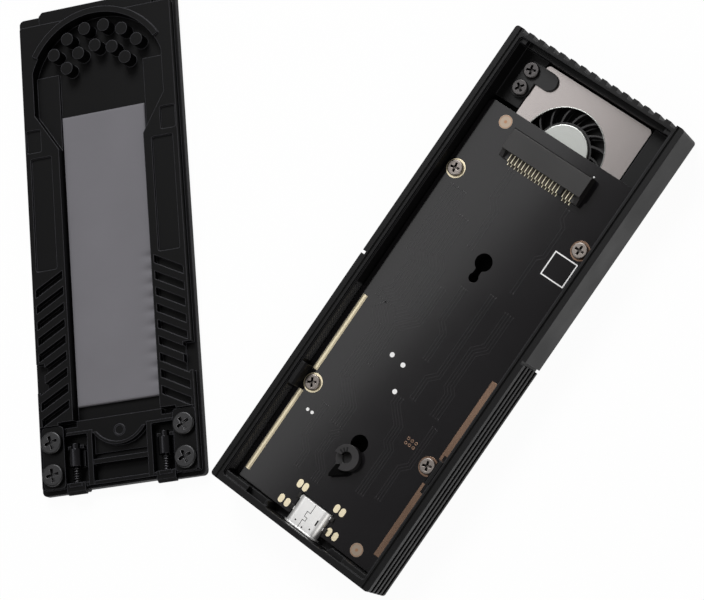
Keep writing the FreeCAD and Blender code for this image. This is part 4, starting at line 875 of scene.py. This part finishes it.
heat_pad = surface("heat_pad", linear(107, 106, 111), 0.75, specular=0.3, size=0.5, depth=0.006,
                   tone=0.05, radius=0.25, edge=1.1)
pad = silicone_pad("lid_heat_pad", from_lid, LID_PAD_SIDES, LID_PAD_ENDS, pad_z, LID_PAD_DENTS)
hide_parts("lid_pad")
bridge_pad_spans = [(low / MM, high / MM) for low, high in zip(*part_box("bridge_pad"))]
pad = silicone_pad("bridge_heat_pad", from_housing, *bridge_pad_spans, dents=[])
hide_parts("bridge_pad")


# Chips under the board
# The bridge chip, a power coil and two small chips, moulded in black plastic and soldered to
# the board's underside.

chip_plastic = surface("chip_plastic", linear(40, 40, 42), 0.55, size=0.12, depth=0.004, radius=0.08,
                       edge=1.4)
dress(chip_plastic, "bridge_chip", "power_coil", "small_chips")


# Lid
# A plate moulded in black plastic, lying on its outer face. It has fins along both rails, a
# channel for the pad, and posts that stand in the blower's air.

# Its edges are painted much lighter: a painted highlight.
lid_plastic = surface("lid_plastic", linear(8, 8, 9), 0.48, specular=0.1, size=0.28, depth=0.006,
                      radius=0.3, edge=28.0)
dress(lid_plastic, "lid_shell")


# Latch
# A sliding plate of black plastic with a thumb bump, two rails and two tongues. Two black steel
# guides with thin springs push it back, and side plates under four screws hold it in its bay.

GUIDE_X, GUIDE_Z = 11.7, 3.05
SPRING_LOW, SPRING_HIGH = -58.02, -54.38
SPRING_RADIUS, WIRE_RADIUS, TURNS = 0.85, 0.13, 6
STEPS_PER_TURN, WIRE_STEPS = 20, 8


def coil_spring(bm, side):
    """A round wire wound about the pin of one guide. Side is 1 for the right guide, -1 for the left."""
    rings = []
    steps = TURNS * STEPS_PER_TURN
    for k in range(steps + 1):
        a = 2 * math.pi * TURNS * k / steps
        rise = SPRING_LOW + (SPRING_HIGH - SPRING_LOW) * k / steps
        wire = []
        for j in range(WIRE_STEPS):
            b = 2 * math.pi * j / WIRE_STEPS
            r = SPRING_RADIUS + WIRE_RADIUS * math.cos(b)
            wire.append(bm.verts.new(from_lid(side * (GUIDE_X + r * math.cos(a)),
                                              rise + WIRE_RADIUS * math.sin(b),
                                              GUIDE_Z + r * math.sin(a))))
        rings.append(wire)
    bm.faces.new(rings[0])
    bm.faces.new(rings[-1][::-1])
    for p, q in zip(rings, rings[1:]):
        for j in range(WIRE_STEPS):
            i = (j + 1) % WIRE_STEPS
            bm.faces.new((p[i], p[j], q[j], q[i]))


# Its black is a little darker than the lid's, as painted shade for the light falling off toward the latch
# end, and its edges carry a strong painted highlight.
latch_plastic = surface("latch_plastic", linear(7, 7, 8), 0.42, specular=0.1, size=0.22, depth=0.004,
                        radius=0.28, edge=30.0)
guide_steel = surface("guide_steel", linear(58, 58, 61), 0.26, metallic=1.0, size=0.1, depth=0.0006,
                      radius=0.15, edge=1.3)
# Their cross recesses are darkened as painted shade, and their rims carry a painted highlight.
black_screw = surface("black_screw", linear(62, 62, 63), 0.4, metallic=1.0, size=0.12, depth=0.0012,
                      tone=0.1, spread=0.06, radius=0.2, edge=6.0, crevice=0.5)
spring_wire = surface("spring_steel", linear(84, 84, 87), 0.3, metallic=1.0, size=0.05, depth=0.001,
                      radius=0.03, edge=1.0)
dress(latch_plastic, "latch_slider", "latch_plate_left", "latch_plate_right")
dress(guide_steel, "spring_guide_left", "spring_guide_right")
dress(black_screw, "latch_screws")

for side, name in ((1, "right"), (-1, "left")):
    bm = bmesh.new()
    coil_spring(bm, side)
    spring = object_from(bm, "spring_" + name, spring_wire, "enclosure", smooth=True)
    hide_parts("latch_spring_" + name)
    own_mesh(spring)


# Camera and studio
# A long lens looks down at the opened enclosure from its right side. The floor is pale paper,
# which reads as white and keeps a faint shadow, and the world behind it shows white too.

CAMERA_PLACE = (0.21619, 0.01192, 0.55706)
CAMERA_TURN = (11.969, 20.298, 36.973)
CAMERA_LENS, CAMERA_SENSOR = 132.95, 36.0
CAMERA_REACH = (0.01, 20.0)
FLOOR_REACH = 4.0
FLOOR_DROP = 2e-5
WHITE_SHARE = 0.96                  # how much of the paper's look is plain white


def paper_material():
    """White where the camera or a mirror sees it, and pale paper for all other light."""
    made, tree = empty_material("studio_paper")
    path = node(tree, "LightPath")
    seen = node(tree, "Math", {0: path.outputs["Is Camera Ray"], 1: path.outputs["Is Glossy Ray"]},
                operation="MAXIMUM")
    seen = node(tree, "Math", {0: seen.outputs[0], 1: path.outputs["Is Transmission Ray"]},
                operation="MAXIMUM")
    share = node(tree, "Math", {0: seen.outputs[0], 1: WHITE_SHARE}, operation="MULTIPLY")
    fibres = node(tree, "TexNoise", {"Scale": 60.0, "Detail": 2.0})
    shade = node(tree, "ValToRGB", {"Fac": fibres.outputs["Fac"]})
    shade.color_ramp.elements[0].color = (0.86, 0.86, 0.86, 1.0)
    shade.color_ramp.elements[1].color = (0.90, 0.90, 0.90, 1.0)
    paper = node(tree, "BsdfDiffuse", {"Color": shade.outputs["Color"]})
    white = node(tree, "Emission", {"Strength": 1.0})
    mixed = node(tree, "MixShader", {0: share.outputs[0], 1: paper.outputs[0], 2: white.outputs[0]})
    node(tree, "OutputMaterial", {"Surface": mixed.outputs[0]})
    return made


def soft_light(name, place, target, size, watts, tint=(1.0, 1.0, 1.0), turn=0.0):
    """A flat soft lamp that faces its target. Turn spins it about that direction, in degrees."""
    lamp = bpy.data.lights.new(name, "AREA")
    lamp.shape = "RECTANGLE"
    lamp.size, lamp.size_y = size
    lamp.energy = watts
    lamp.color = tint
    made = link_object(lamp, name, place)
    aim = (Vector(target) - Vector(place)).to_track_quat("-Z", "Y")
    made.rotation_euler = (aim.to_matrix() @ Matrix.Rotation(math.radians(turn), 3, "Z")).to_euler()


scene = bpy.context.scene
scene.view_settings.view_transform = "Standard"
camera_data = bpy.data.cameras.new("camera")
camera_data.sensor_width = CAMERA_SENSOR
camera_data.lens = CAMERA_LENS
camera_data.clip_start, camera_data.clip_end = CAMERA_REACH
scene.camera = link_object(camera_data, "camera", CAMERA_PLACE, CAMERA_TURN)

floor_mesh = bpy.data.meshes.new("floor")
floor_corners = [(x * FLOOR_REACH, y * FLOOR_REACH, -FLOOR_DROP)
                 for x, y in ((-1, -1), (1, -1), (1, 1), (-1, 1))]
floor_mesh.from_pydata(floor_corners, [], [(0, 1, 2, 3)])
floor_mesh.materials.append(paper_material())
floor = link_object(floor_mesh, "floor")

world = bpy.data.worlds.new("studio")
world.use_nodes = True
scene.world = world
world.node_tree.nodes.clear()
sky_path = node(world.node_tree, "LightPath")
sky = node(world.node_tree, "Background", {"Color": (1.0, 0.97, 0.96, 1.0), "Strength": 0.2})
white_sky = node(world.node_tree, "Background", {"Color": (1.0, 1.0, 1.0, 1.0), "Strength": 1.0})
mixed_sky = node(world.node_tree, "MixShader", {0: sky_path.outputs["Is Camera Ray"],
                                                1: sky.outputs[0], 2: white_sky.outputs[0]})
node(world.node_tree, "OutputWorld", {"Surface": mixed_sky.outputs[0]})

soft_light("key_light", (-0.66, 0.62, 0.95), (0.0, 0.0, 0.0), (0.55, 0.55), 13.5)
soft_light("strip_light", (-0.32, -0.09, 0.52), (-0.32, -0.091, 0.0), (0.2, 0.46), 0.37, turn=-10.0)
soft_light("fill_light", (0.9, -0.5, 0.8), (0.0, 0.0, 0.0), (0.8, 0.8), 4.5, (1.0, 0.98, 0.95))
